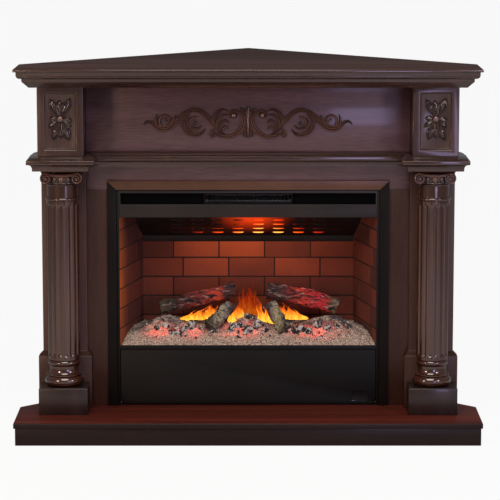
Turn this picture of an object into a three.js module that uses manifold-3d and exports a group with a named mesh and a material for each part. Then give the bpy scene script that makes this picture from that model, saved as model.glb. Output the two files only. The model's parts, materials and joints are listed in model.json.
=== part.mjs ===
// Corner fireplace: a panelled timber mantel for the corner of a room, with an electric insert.
// Millimetres, +Z up. The front faces -Y and the corner of the room lies at +Y. Pieces are laid out from
// the face of the front panel (y = 0), and the whole is then centred front to back on its bounding box.

import * as THREE from 'three';
import { mergeVertices } from 'three/addons/utils/BufferGeometryUtils.js';
import Module from 'manifold-3d';

const wasm = await Module();
wasm.setup();

// ---------------------------------------------------------------- driving dimensions

// Overall form of the mantel
const mantelHeight = 941;
const shelfWidth = 1160;
const shelfProjection = 182;
const wallReturn = 39;
const jointGap = 0.3;

// Shelf and crown
const shelfThickness = 17;
const shelfNosing = 7;
const shelfSetback = 7;
const quirk = 0.5;
const crownThickness = 31;
const crownFilletSetback = 20;
const crownSoffitSetback = 36;
const crownFilletHeight = 7;
const crownSlopeHeight = 16;

// Hearth
const hearthWidth = 1176;
const hearthProjection = 215;
const hearthThickness = 14;
const plinthHeight = 44;
const plinthSetback = 4;
const plinthBoard = 16;
const hearthCornerCut = 60;

// Carcass
const panelThickness = 18;
const wallBoard = 16;
const cornerGap = 110;
const panelClearance = 1.5;

// Columns, their pedestals and the pilasters behind them
const columnSpacing = 938;
const columnRadius = 41;
const fluteCount = 16;
const fluteDepth = 2.6;
const fluteRunout = 9;
const torusRadius = 50.5;
const torusHeight = 22;
const scotiaRadius = 35;
const scotiaHeight = 30;
const astragalHeight = 16;
const neckRingRadius = 44.5;
const neckRingHeight = 8;
const neckHeight = 38;
const pedestalWidth = 124;
const pedestalHeight = 69;
const pedestalProjection = 120;
const pedestalLip = 4;
const pilasterWidth = 114;
const pilasterThickness = 20;
const footWidth = 136;
const footThickness = 35;
const footHeight = 147;
const footBevel = 11;

// Capitals
const capitalHeight = 36;
const capitalWidth = 108;
const abacusHeight = 8;
const volutePipe = 15.5;
const voluteTurns = 2;
const eggCount = 14;

// Corner blocks, frieze and cornice
const blockWidth = 115;
const blockHeight = 174;
const blockProjection = 118;
const recessWidth = 75;
const recessHeight = 139;
const recessDepth = 8;
const recessBevel = 3;
const friezeThickness = 20;
const corniceHeight = 37;
const corniceProjection = 27;
const corniceFoot = 13;
const corniceFillet = 10;
const corniceCove = 9;
const corniceFootHeight = 5;

// Carved ornament
const rosetteRelief = 10;
const rosetteButton = 10.5;
const carvingWidth = 533;
const carvingHeight = 80;
const carvingRelief = 9;

// Bronze trim round the insert
const trimWidth = 23.5;
const trimThickness = 7;

// Insert
const openingMargin = 132.5;
const insertDepth = 228;
const headerBand = 39;
const caseWallClearance = 23;
const sheet = 2;
const frameLip = 7;
const fasciaProud = 2;
const flapHeight = 142;
const flapGap = 3.2;
const sillHeight = 12;
const fasciaHeight = 68.5;
const barHeight = 33.5;
const slotHeight = 29;
const slotDepth = 11;
const outletWidth = 226;
const grilleFins = 23;

// Firebox
const liningBackRoom = 18;
const liningInset = 13;
const brickPanel = 5;
const brickBackPanel = 12;
const brickCourse = 51.4;
const brickLength = 121;
const brickBondShift = 26;
const mortarWidth = 4;
const mortarDepth = 1.4;
const canopyRise = 4;
const canopyKnee = 120;
const canopyDrop = 82;
const canopyLip = 16;
const louvreColumns = 8;
const louvreRows = 4;
const louvrePitch = 53;
const louvreWidth = 31;
const louvreSlot = 6;
const mistSlotLength = 140;
const mistSlotWidth = 14;

// Ember bed
const bedFrontRise = 9;
const bedPlateau = 37;
const bedHeap = 38;
const bedLumps = 3;
const logEndRoom = 47;
const logMeeting = 42;
const logRadius = 22;
const logRise = 81;
const logPeak = 131;
const leanFoot = 101;
const leanRadius = 18;
const leanRise = 45;
const leanPeak = 91;

// Heater
const rotorRadius = 21;
const rotorLength = 190;
const rotorBlades = 12;
const rotorShaft = 3;
const runningClearance = 2.5;
const motorRadius = 23;
const motorLength = 42;
const elementWidth = 214;
const elementHeight = 18;
const elementDepth = 16;
const elementRail = 3;
const elementFins = 12;

// Compartment behind the flap
const hingeRadius = 2;
const hingeInset = 5;
const knuckleLength = 42;
const knuckleClearance = 0.4;
const consoleWidth = 150;
const consoleHeight = 104;
const consoleSetback = 40;
const consoleFoot = 46;
const consoleSideRoom = 24;
const buttonRadius = 7;
const buttonProud = 5;
const buttonClearance = 0.4;
const controlPitch = 42;
const rockerRadius = 11;
const rockerWidth = 15;
const rockerInset = 5;
const rockerTilt = -8;
const tankWidth = 168;
const tankDepth = 150;
const tankHeight = 116;
const tankCorner = 14;
const mistBasinWidth = 200;
const mistBasinDepth = 86;
const mistBasinHeight = 84;
const mistDuctDepth = 40;
const glandRadius = 9;
const glandBore = 4;
const glandLength = 16;

// ---------------------------------------------------------------- derived places

const columnX = columnSpacing / 2;
const wallReach = columnX + pilasterWidth / 2 + wallReturn;
const panelY = (hearthProjection - wallReach) / 2;
const hearthTop = plinthHeight + hearthThickness;
const shelfBottom = mantelHeight - shelfThickness;
const crownBottom = shelfBottom - crownThickness;
const blockBottom = crownBottom - blockHeight;
const corniceBottom = blockBottom - corniceHeight;
const pedestalTop = hearthTop + pedestalHeight;
const capitalBottom = corniceBottom - capitalHeight;
const columnY = -(pedestalProjection - pedestalLip - torusRadius);
const blockInner = columnX - blockWidth / 2;
const insertWidth = columnSpacing - 2 * openingMargin;
const insertHalf = insertWidth / 2;
const insertBottom = hearthTop + jointGap;
const insertTop = corniceBottom - headerBand - trimWidth - jointGap;
const wallInset = wallBoard * Math.SQRT2;
const insertBackWidth = 2 * (wallReach - wallInset - insertDepth - caseWallClearance);
const fireboxDepth = insertDepth - liningBackRoom;
const fireboxBackWidth = insertBackWidth - 2 * liningInset;
const logReach = fireboxBackWidth / 2 - logEndRoom;
const openingHalf = insertHalf + panelClearance;
const openingTop = insertTop + panelClearance;
const fasciaHalf = insertHalf - frameLip - jointGap;
const flapBottom = hearthTop + flapGap;
const flapTop = flapBottom + flapHeight;
const fireboxFloor = flapTop + jointGap * 2;
const sillTop = fireboxFloor + sillHeight;
const caseTopBottom = insertTop - sheet;
const fasciaBottom = caseTopBottom - jointGap - fasciaHeight;
const slotBottom = fasciaBottom + barHeight;
const fasciaBack = panelThickness - fasciaProud * 2;
const canopyTop = fasciaBottom + canopyRise + sheet;

// ---------------------------------------------------------------- finishes

/** A plain finish in the given colour. */
function finish(color, roughness, metalness = 0) {
  return new THREE.MeshStandardMaterial({ color, roughness, metalness });
}

const mahogany = finish(0x3b2420, 0.35);
const carvedMahogany = finish(0x4a2e28, 0.4);
const rawBoard = finish(0x8a6f55, 0.85);
const bronze = finish(0x45352a, 0.45, 0.5);
const blackSteel = finish(0x1c1a19, 0.5, 0.4);
const brick = finish(0x7a3a22, 0.9);
const ash = finish(0xa39a92, 0.95);
const charredLog = finish(0x3a2c28, 0.9);
const aluminium = finish(0xa8aaac, 0.35, 0.9);
const zincSteel = finish(0x8b8e90, 0.4, 0.8);
const blackPlastic = finish(0x191919, 0.5);
const redPlastic = finish(0x8c1f18, 0.4);
const tankPlastic = finish(0x9db4c0, 0.25);

// ---------------------------------------------------------------- geometry helpers

const axisX = new THREE.Vector3(1, 0, 0);
const axisY = new THREE.Vector3(0, 1, 0);
const axisZ = new THREE.Vector3(0, 0, 1);

/** Signed volume of an indexed mesh: negative when its faces point inwards. */
function signedVolume(positions, index) {
  const corners = [new THREE.Vector3(), new THREE.Vector3(), new THREE.Vector3()];
  let volume = 0;
  for (let i = 0; i < index.length; i += 3) {
    corners.forEach((corner, k) => corner.fromArray(positions, index[i + k] * 3));
    volume += corners[0].dot(corners[1].clone().cross(corners[2])) / 6;
  }
  return volume;
}

/** Merges shared corners, drops triangles without area and turns the faces outwards. */
function clean(geometry) {
  const bare = geometry.clone();
  bare.deleteAttribute('normal');
  bare.deleteAttribute('uv');
  const welded = mergeVertices(bare, 1e-3);
  const positions = welded.attributes.position.array;
  const source = welded.index.array;
  const index = [];
  for (let i = 0; i < source.length; i += 3) {
    const [a, b, c] = [source[i], source[i + 1], source[i + 2]];
    if (a !== b && b !== c && a !== c) {
      index.push(a, b, c);
    }
  }
  if (signedVolume(positions, index) < 0) {
    index.reverse();
  }
  welded.setIndex(index);
  return welded;
}

/** A closed mesh as a solid for cutting and joining. */
function toSolid(geometry) {
  const welded = clean(geometry);
  return new wasm.Manifold(new wasm.Mesh({
    numProp: 3,
    vertProperties: new Float32Array(welded.attributes.position.array),
    triVerts: new Uint32Array(welded.index.array),
  }));
}

/** The surface of a solid as a mesh. */
function toGeometry(solid) {
  const mesh = solid.getMesh();
  const geometry = new THREE.BufferGeometry();
  geometry.setAttribute('position', new THREE.BufferAttribute(mesh.vertProperties, 3));
  geometry.setIndex(new THREE.BufferAttribute(mesh.triVerts, 1));
  return geometry;
}

/** Joins several closed meshes into one. */
function join(...geometries) {
  return toGeometry(geometries.map(toSolid).reduce((body, next) => body.add(next)));
}

/** Cuts every tool away from a body. */
function cut(body, ...tools) {
  return toGeometry(tools.map(toSolid).reduce((rest, tool) => rest.subtract(tool), toSolid(body)));
}

/** The space that two closed meshes share. */
function common(first, second) {
  return toGeometry(toSolid(first).intersect(toSolid(second)));
}

/** A mirrored copy across the middle plane of the fireplace. */
function mirrored(geometry) {
  return clean(geometry.clone().scale(-1, 1, 1));
}

/** A rectangular board between two corners. */
function board([x0, x1], [y0, y1], [z0, z1]) {
  const box = new THREE.BoxGeometry(x1 - x0, y1 - y0, z1 - z0);
  return box.translate((x0 + x1) / 2, (y0 + y1) / 2, (z0 + z1) / 2);
}

/** A prism whose [y, z] section runs along X. */
function alongX(section, [x0, x1]) {
  const shape = new THREE.Shape(section.map(([y, z]) => new THREE.Vector2(y, z)));
  const prism = new THREE.ExtrudeGeometry(shape, { depth: x1 - x0, bevelEnabled: false });
  return prism.applyMatrix4(new THREE.Matrix4().makeBasis(axisY, axisZ, axisX)).translate(x0, 0, 0);
}

/** A prism whose [x, z] section runs along Y. */
function alongY(section, [y0, y1]) {
  const shape = new THREE.Shape(section.map(([x, z]) => new THREE.Vector2(x, z)));
  const prism = new THREE.ExtrudeGeometry(shape, { depth: y1 - y0, bevelEnabled: false });
  const basis = new THREE.Matrix4().makeBasis(axisX, axisZ, axisY.clone().negate());
  return prism.applyMatrix4(basis).translate(0, y1, 0);
}

/** A prism whose [x, y] section stands along Z. */
function alongZ(section, [z0, z1]) {
  const shape = new THREE.Shape(section.map(([x, y]) => new THREE.Vector2(x, y)));
  const prism = new THREE.ExtrudeGeometry(shape, { depth: z1 - z0, bevelEnabled: false });
  return prism.translate(0, 0, z0);
}

/** Triangles that close a flat ring of points, facing the way the ring turns. */
function capFaces(ring) {
  const normal = new THREE.Vector3();
  const points = ring.map((point) => new THREE.Vector3(...point));
  points.forEach((point, i) => normal.add(point.clone().cross(points[(i + 1) % points.length])));
  normal.normalize();
  const across = Math.abs(normal.z) < 0.9 ? axisZ.clone().cross(normal) : axisX.clone();
  across.addScaledVector(normal, -across.dot(normal)).normalize();
  const up = normal.clone().cross(across);
  const flat = points.map((point) => new THREE.Vector2(point.dot(across), point.dot(up)));
  return THREE.ShapeUtils.triangulateShape(flat, []);
}

/** A closed skin through rings of equally many points, which turn right-handed about the way they go. */
function loft(rings) {
  const count = rings[0].length;
  const last = (rings.length - 1) * count;
  const index = [];
  for (let i = 0; i < rings.length - 1; i += 1) {
    for (let j = 0; j < count; j += 1) {
      const a = i * count + j;
      const b = i * count + ((j + 1) % count);
      index.push(a, b, b + count, a, b + count, a + count);
    }
  }
  capFaces(rings[0]).forEach(([a, b, c]) => index.push(c, b, a));
  capFaces(rings[rings.length - 1]).forEach(([a, b, c]) => index.push(last + a, last + b, last + c));
  const geometry = new THREE.BufferGeometry();
  geometry.setAttribute('position', new THREE.Float32BufferAttribute(rings.flat(2), 3));
  geometry.setIndex(index);
  return clean(geometry);
}

/** A board whose edges follow a moulding: the profile gives [projection, height] from the bottom up. */
function mouldedBoard(outline, profile) {
  return loft(profile.map(([projection, z]) => outline(projection).map(([x, y]) => [x, y, z])));
}

/** A turned piece about a vertical axis through (x, y): the profile gives [radius, height]. */
function turned(profile, [x, y], segments = 24) {
  const points = profile.map(([radius, height]) => new THREE.Vector2(radius, height));
  const lathe = new THREE.LatheGeometry(points, segments);
  return lathe.rotateX(Math.PI / 2).translate(x, y, 0);
}

/** A solid rod along X. */
function rodAlongX(radius, [x0, x1], [y, z], segments = 20) {
  const rod = new THREE.CylinderGeometry(radius, radius, x1 - x0, segments);
  return rod.rotateZ(Math.PI / 2).translate((x0 + x1) / 2, y, z);
}

/** A solid rod along Y. */
function rodAlongY(radius, [y0, y1], [x, z], segments = 24) {
  return new THREE.CylinderGeometry(radius, radius, y1 - y0, segments).translate(x, (y0 + y1) / 2, z);
}

/** Points on an arc, as [across, up], from one angle to another in degrees. */
function arc([cx, cz], radius, from, to, steps) {
  return Array.from({ length: steps + 1 }, (_, i) => {
    const angle = THREE.MathUtils.degToRad(from + ((to - from) * i) / steps);
    return [cx + radius * Math.cos(angle), cz + radius * Math.sin(angle)];
  });
}

/** Evenly spread values, both ends included. */
function spread(from, to, count) {
  return Array.from({ length: count }, (_, i) => from + ((to - from) * i) / (count - 1));
}

/** A raised ribbon on the plane y = base: a path of [x, z, width], with a ridged section. */
function ribbon(path, base, relief, steps) {
  const curve = new THREE.CatmullRomCurve3(path.map(([x, z, width]) => new THREE.Vector3(x, z, width)));
  const rings = [];
  for (let i = 0; i <= steps; i += 1) {
    const point = curve.getPoint(i / steps);
    const tangent = curve.getTangent(i / steps).setZ(0).normalize();
    const side = new THREE.Vector3(-tangent.y, tangent.x, 0).multiplyScalar(point.z / 2);
    const height = relief * Math.min(1, 0.35 + point.z / relief / 2);
    rings.push([
      [point.x - side.x, base, point.y - side.y],
      [point.x + side.x, base, point.y + side.y],
      [point.x + side.x * 0.75, base - height * 0.6, point.y + side.y * 0.75],
      [point.x, base - height, point.y],
      [point.x - side.x * 0.75, base - height * 0.6, point.y - side.y * 0.75],
    ]);
  }
  return loft(rings);
}

// ---------------------------------------------------------------- shelf, crown and carcass

/** Plan of a corner unit: front edge, side returns and 45-degree backs that meet or stop near the corner. */
function cornerPlan(halfWidth, projection, cornerCut) {
  const sideEnd = wallReach - halfWidth;
  const backs = cornerCut > 0
    ? [[cornerCut, wallReach - cornerCut], [-cornerCut, wallReach - cornerCut]]
    : [[0, wallReach]];
  return [[-halfWidth, -projection], [halfWidth, -projection], [halfWidth, sideEnd], ...backs, [-halfWidth, sideEnd]];
}

/** Shelf board: a square nosing over a set-back lower edge. */
function mantelShelf() {
  const outline = (setback) => cornerPlan(shelfWidth / 2 + setback, shelfProjection + setback, 0);
  const nosingBottom = mantelHeight - shelfNosing;
  const ease = 1.2;
  return mouldedBoard(outline, [
    [-shelfSetback, shelfBottom],
    [-shelfSetback, nosingBottom - quirk],
    [0, nosingBottom],
    [0, mantelHeight - ease],
    [-ease, mantelHeight],
  ]);
}

/** Crown: a cove under the shelf, a fillet and a sloped soffit edge. */
function crownBoard() {
  const outline = (setback) => cornerPlan(shelfWidth / 2 + setback, shelfProjection + setback, cornerGap);
  const slopeTop = crownBottom + crownSlopeHeight;
  const filletTop = slopeTop + crownFilletHeight;
  const coveWidth = crownFilletSetback - shelfSetback - jointGap;
  const coveHeight = shelfBottom - jointGap - filletTop;
  const cove = arc([0, 0], 1, -90, 0, 4).map(([across, up]) => [
    -crownFilletSetback + coveWidth * across,
    filletTop + coveHeight * (1 + up),
  ]);
  return mouldedBoard(outline, [
    [-crownSoffitSetback, crownBottom],
    [-crownFilletSetback, slopeTop],
    [-crownFilletSetback, filletTop],
    ...cove.slice(1),
  ]);
}

/** Right front stile, between the hearth and the header. */
function frontStile() {
  const outer = columnX + pilasterWidth / 2;
  return board([openingHalf, outer], [0, panelThickness], [hearthTop + jointGap, openingTop]);
}

/** Header over the opening, up to the crown. */
function frontHeader() {
  const outer = columnX + pilasterWidth / 2;
  return board([-outer, outer], [0, panelThickness], [openingTop + jointGap, crownBottom - jointGap]);
}

/** Right wall board: a short return behind the stile, then along the wall towards the corner. */
function wallBoardPanel() {
  const outer = columnX + pilasterWidth / 2;
  const front = panelThickness + jointGap;
  const inner = outer - wallBoard;
  const step = wallBoard * Math.SQRT1_2;
  const plan = [
    [outer, front],
    [outer, wallReach - outer],
    [cornerGap, wallReach - cornerGap],
    [cornerGap - step, wallReach - cornerGap - step],
    [inner, wallReach - wallInset - inner],
    [inner, front],
  ];
  return alongZ(plan, [hearthTop + jointGap, crownBottom - jointGap]);
}

// ---------------------------------------------------------------- hearth

/** Hearth slab with an eased top edge. */
function hearthSlab() {
  const outline = (setback) => cornerPlan(hearthWidth / 2 + setback, hearthProjection + setback, hearthCornerCut);
  const ease = 1.5;
  return mouldedBoard(outline, [
    [0, plinthHeight + jointGap],
    [0, hearthTop - ease],
    [-ease, hearthTop],
  ]);
}

/** Board across the front of the plinth. */
function plinthFront() {
  const half = hearthWidth / 2 - plinthSetback;
  const front = -(hearthProjection - plinthSetback);
  return board([-half, half], [front, front + plinthBoard], [0, plinthHeight]);
}

/** Right plinth board: a side return, then along the wall. */
function plinthSide() {
  const outer = hearthWidth / 2 - plinthSetback;
  const inner = outer - plinthBoard;
  const front = -(hearthProjection - plinthSetback) + plinthBoard + jointGap;
  const reach = wallReach - plinthSetback;
  const lean = plinthBoard * Math.SQRT2;
  const step = plinthBoard * Math.SQRT1_2;
  const plan = [
    [outer, front],
    [outer, reach - outer],
    [cornerGap, reach - cornerGap],
    [cornerGap - step, reach - cornerGap - step],
    [inner, reach - lean - inner],
    [inner, front],
  ];
  return alongZ(plan, [0, plinthHeight]);
}

// ---------------------------------------------------------------- columns

/** Turned base: torus, fillet, scotia, fillet and astragal. */
function columnBase() {
  const bottom = pedestalTop + jointGap;
  const bulge = torusHeight / 2;
  const bead = astragalHeight / 2;
  const scotiaBottom = bottom + torusHeight;
  const scotiaTop = scotiaBottom + scotiaHeight;
  const fillet = 3;
  const flare = torusRadius - bulge * 0.7 - scotiaRadius;
  const scotia = arc([0, 0], 1, 0, 90, 4).map(([across, up]) => [
    scotiaRadius + flare * (1 - up),
    scotiaTop - fillet - (scotiaHeight - 2 * fillet) * across,
  ]);
  const shaftFoot = scotiaTop + astragalHeight;
  const profile = [
    [0, bottom],
    ...arc([torusRadius - bulge, bottom + bulge], bulge, -90, 90, 6),
    [scotiaRadius + flare, scotiaBottom],
    ...scotia,
    [scotiaRadius + fillet, scotiaTop - fillet],
    [scotiaRadius + fillet, scotiaTop],
    ...arc([columnRadius + 1.5 - bead, scotiaTop + bead], bead, -90, 90, 4),
    [columnRadius - 1, shaftFoot],
    [columnRadius - 1, shaftFoot + 2 * jointGap],
    [0, shaftFoot + 2 * jointGap],
  ];
  return turned(profile, [columnX, columnY]);
}

/** Section of the fluted shaft at a share of the full flute depth. */
function fluteRing(share, z) {
  const cup = [[0, 0], [0.16, 0], [0.4, 0.9], [0.76, 0.9]];
  const ring = [];
  for (let flute = 0; flute < fluteCount; flute += 1) {
    cup.forEach(([along, depth]) => {
      const angle = ((flute + along) / fluteCount) * Math.PI * 2;
      const radius = columnRadius - fluteDepth * depth * share;
      ring.push([columnX + radius * Math.cos(angle), columnY + radius * Math.sin(angle), z]);
    });
  }
  return ring;
}

/** Fluted shaft, whose flutes run out above the base and below the neck ring. */
function columnShaft() {
  const bottom = pedestalTop + jointGap + torusHeight + scotiaHeight + astragalHeight;
  const top = capitalBottom - neckHeight - neckRingHeight / 2;
  return loft([
    fluteRing(0, bottom),
    fluteRing(0, bottom + fluteRunout),
    fluteRing(1, bottom + 2 * fluteRunout),
    fluteRing(1, top - 2 * fluteRunout),
    fluteRing(0, top - fluteRunout),
    fluteRing(0, top),
  ]);
}

/** Neck ring and the plain neck under the capital. */
function columnNeck() {
  const ringBottom = capitalBottom - neckHeight - neckRingHeight / 2;
  const bead = neckRingHeight / 2;
  const profile = [
    [0, ringBottom - jointGap],
    [columnRadius - 1, ringBottom - jointGap],
    [columnRadius - 1, ringBottom],
    ...arc([neckRingRadius - bead, ringBottom + bead], bead, -90, 90, 4),
    [columnRadius - 2, ringBottom + neckRingHeight],
    [columnRadius - 2, capitalBottom - jointGap],
    [0, capitalBottom - jointGap],
  ];
  return turned(profile, [columnX, columnY]);
}

/** Right column in one turned piece, cut flat where it meets the foot block and the pilaster. */
function column() {
  const reach = torusRadius * 2;
  const behindFoot = board(
    [columnX - reach, columnX + reach],
    [-footThickness - jointGap, reach],
    [hearthTop, hearthTop + footHeight + jointGap],
  );
  const behindPilaster = board(
    [columnX - reach, columnX + reach],
    [-pilasterThickness - jointGap, reach],
    [hearthTop, corniceBottom],
  );
  return cut(join(columnBase(), columnShaft(), columnNeck()), behindFoot, behindPilaster);
}

/** Right pedestal in front of the foot block. */
function pedestal() {
  const half = pedestalWidth / 2;
  const ease = 1.2;
  const plan = (setback) => {
    const side = half + setback;
    const front = -(pedestalProjection + setback);
    const back = -footThickness - jointGap;
    return [[columnX - side, front], [columnX + side, front], [columnX + side, back], [columnX - side, back]];
  };
  return mouldedBoard(plan, [
    [0, hearthTop + jointGap],
    [0, pedestalTop - ease],
    [-ease, pedestalTop],
  ]);
}

/** Right pilaster board with the bevelled block planted at its foot. */
function pilaster() {
  const ring = (width, thickness, z) => {
    const half = width / 2;
    const back = -jointGap;
    return [
      [columnX - half, -thickness, z],
      [columnX + half, -thickness, z],
      [columnX + half, back, z],
      [columnX - half, back, z],
    ];
  };
  const footTop = hearthTop + footHeight;
  return loft([
    ring(footWidth, footThickness, hearthTop + jointGap),
    ring(footWidth, footThickness, footTop - footBevel),
    ring(pilasterWidth, pilasterThickness, footTop),
    ring(pilasterWidth, pilasterThickness, corniceBottom - jointGap),
  ]);
}

// ---------------------------------------------------------------- capitals

/** Moulded square slab on top of the capital. */
function abacus() {
  const plan = (projection) => {
    const side = capitalWidth / 2 - 4 + projection;
    const front = columnY - columnRadius - 7 - projection;
    const back = -pilasterThickness - jointGap;
    return [[columnX - side, front], [columnX + side, front], [columnX + side, back], [columnX - side, back]];
  };
  const top = corniceBottom - jointGap;
  return mouldedBoard(plan, [
    [-5, top - abacusHeight],
    [-1, top - abacusHeight * 0.55],
    [0, top - abacusHeight * 0.45],
    [0, top],
  ]);
}

/** Swelling cushion carved with eggs. */
function echinus() {
  const top = corniceBottom - jointGap - abacusHeight / 2;
  const bottom = capitalBottom;
  const steps = eggCount * 2;
  const ring = (radius, swell, z) => Array.from({ length: steps }, (_, i) => {
    const angle = (i / steps) * Math.PI * 2;
    const egg = swell * Math.abs(Math.cos((angle * eggCount) / 2));
    return [columnX + (radius + egg) * Math.cos(angle), columnY + (radius + egg) * Math.sin(angle), z];
  });
  return loft([
    ring(columnRadius - 2, 0, bottom),
    ring(columnRadius, 3, bottom + (top - bottom) * 0.3),
    ring(columnRadius + 1, 4.5, bottom + (top - bottom) * 0.65),
    ring(columnRadius + 2, 2, top),
  ]);
}

/** One scroll of the capital: a bolster with a spiral raised on its end, and an eye. */
function volute(side) {
  const centre = [columnX + side * (capitalWidth / 2 - volutePipe), capitalBottom + volutePipe];
  const face = columnY - columnRadius - 3;
  const bolster = rodAlongY(volutePipe, [face, -pilasterThickness - jointGap], centre);
  const steps = 8 * voluteTurns;
  const path = Array.from({ length: steps }, (_, i) => {
    const share = i / (steps - 1);
    const angle = Math.PI / 2 - side * share * voluteTurns * 2 * Math.PI;
    const radius = (volutePipe - 1.6) * (1 - 0.8 * share);
    return [centre[0] + radius * Math.cos(angle), centre[1] + radius * Math.sin(angle), 2.6 - 1.2 * share];
  });
  const spiral = ribbon(path, face + jointGap, 2.6, steps + 4);
  const eye = rodAlongY(3, [face - 3, face + jointGap], centre, 10);
  return join(bolster, spiral, eye);
}

/** Right capital with two scrolls joined by a hollowed band. */
function capital() {
  const half = capitalWidth / 2 - volutePipe;
  const face = columnY - columnRadius - 3;
  const bandTop = corniceBottom - jointGap - abacusHeight * 0.7;
  const bandBottom = capitalBottom + volutePipe * 1.25;
  const band = board([columnX - half, columnX + half], [face, -pilasterThickness - jointGap], [bandBottom, bandTop]);
  return join(abacus(), echinus(), band, volute(-1), volute(1));
}

// ---------------------------------------------------------------- blocks, frieze and cornice

/** Right corner block with a bevelled recess in its face. */
function cornerBlock() {
  const body = board(
    [columnX - blockWidth / 2, columnX + blockWidth / 2],
    [-blockProjection, -jointGap],
    [blockBottom + jointGap, crownBottom - jointGap],
  );
  const middle = (blockBottom + crownBottom) / 2;
  const ring = (spare, y) => {
    const w = recessWidth / 2 + spare;
    const h = recessHeight / 2 + spare;
    return [
      [columnX - w, y, middle + h],
      [columnX + w, y, middle + h],
      [columnX + w, y, middle - h],
      [columnX - w, y, middle - h],
    ];
  };
  const face = -blockProjection;
  const recess = loft([
    ring(recessBevel * 2, face - recessBevel),
    ring(0, face + recessBevel),
    ring(0, face + recessDepth),
  ]);
  return cut(body, recess);
}

/** Length of the rosette's leaves by direction: upright ones narrow, slanted ones reach for the corners. */
function rosetteReach(angle) {
  const leaves = [
    [0, 26, 15], [62, 54, 15], [90, 50, 11], [118, 54, 15],
    [180, 26, 15], [242, 54, 15], [270, 44, 11], [298, 54, 15],
  ];
  const degrees = THREE.MathUtils.euclideanModulo(THREE.MathUtils.radToDeg(angle), 360);
  const reaches = leaves.map(([direction, length, halfAngle]) => {
    const away = Math.abs(THREE.MathUtils.euclideanModulo(degrees - direction + 180, 360) - 180);
    const share = Math.max(0, 1 - (away / halfAngle) ** 2);
    return rosetteButton + 4 + (length - rosetteButton - 4) * share;
  });
  return Math.max(...reaches);
}

/** Right rosette: a domed button in a star of leaves, on the floor of the recess. */
function rosette() {
  const base = -blockProjection + recessDepth - jointGap;
  const middle = (blockBottom + crownBottom) / 2 + 4;
  const limit = Math.min(recessWidth / 2 / 38, recessHeight / 2 / 69) * 0.97;
  const steps = 48;
  const levels = [[1, 0], [1, 0.22], [0.72, 0.55], [0.45, 0.5]];
  const rings = levels.map(([share, height]) => Array.from({ length: steps }, (_, i) => {
    const angle = -(i / steps) * Math.PI * 2;
    const radius = rosetteReach(angle) * limit * share;
    return [columnX + radius * Math.cos(angle), base - rosetteRelief * height, middle + radius * Math.sin(angle)];
  }));
  const leaves = loft(rings);
  const dome = arc([0, 0], 1, 0, 90, 4).map(([across, up]) => [
    rosetteButton * limit * across,
    rosetteRelief * (0.4 + 0.6 * up),
  ]);
  const profile = [[0, rosetteRelief * 0.2], [rosetteButton * limit, rosetteRelief * 0.2], ...dome];
  profile[profile.length - 1][0] = 0;
  const button = turned(profile, [0, 0], 16).rotateX(Math.PI / 2).translate(columnX, base, middle);
  return join(leaves, button);
}

/** Flat board between the corner blocks. */
function friezeBoard() {
  const half = blockInner - jointGap;
  return board([-half, half], [-friezeThickness, -jointGap], [blockBottom + jointGap, crownBottom - jointGap]);
}

/** Scrollwork on one side of the frieze carving: [x, z, width] paths as shares of its half width and height. */
function carvingPaths() {
  return [
    [[0.11, -0.25, 5], [0.17, 0.3, 7], [0.27, -0.02, 8], [0.33, -0.3, 8], [0.42, 0.1, 9], [0.52, 0.62, 9],
      [0.62, 0.5, 9], [0.71, -0.12, 8], [0.79, -0.32, 7], [0.88, -0.1, 5], [0.98, 0.12, 2.5]],
    [[0.13, 0.55, 5], [0.05, 0.28, 5], [0.03, -0.12, 5], [0.1, -0.52, 5], [0.17, -0.62, 4], [0.22, -0.4, 3]],
    [[0.13, 0.55, 5], [0.2, 0.42, 5], [0.21, 0.12, 5], [0.15, -0.05, 6], [0.11, 0.12, 5]],
    [[0.52, 0.62, 8], [0.57, 0.2, 10], [0.5, -0.3, 10], [0.42, -0.5, 7], [0.39, -0.28, 5]],
    [[0.72, -0.15, 7], [0.66, 0.1, 8], [0.68, 0.34, 6], [0.73, 0.3, 4]],
    [[0.3, -0.1, 6], [0.27, 0.35, 9], [0.31, 0.66, 6], [0.35, 0.5, 3]],
  ];
}

/** Carved scroll applique across the frieze, the same on both sides of a palmette. */
function friezeCarving() {
  const base = -friezeThickness - jointGap;
  const middle = (blockBottom + crownBottom) / 2 - 11.5;
  const half = carvingWidth / 2;
  const tall = carvingHeight / 2;
  const scale = carvingHeight / 80;
  const scaled = (path) => path.map(([x, z, width]) => [x * half, middle + z * tall, width * scale]);
  const side = carvingPaths().map((path) => ribbon(scaled(path), base, carvingRelief, path.length + 1));
  const leaf = (tip, foot, width) => ribbon(
    scaled([[0, foot, width * 0.4], [0, (tip + foot) / 2, width], [0, tip, 2]]),
    base,
    carvingRelief,
    4,
  );
  const waist = rodAlongY(13 * scale, [base - carvingRelief * 0.8, base], [0, middle], 14);
  const centre = [leaf(1, 0.1, 16), leaf(-1, -0.1, 18), waist];
  const arm = ribbon(scaled([[0, 0, 7], [0.04, -0.1, 7], [0.1, -0.3, 6]]), base, carvingRelief, 4);
  return join(...centre, arm, mirrored(arm), ...side, ...side.map(mirrored));
}

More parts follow.
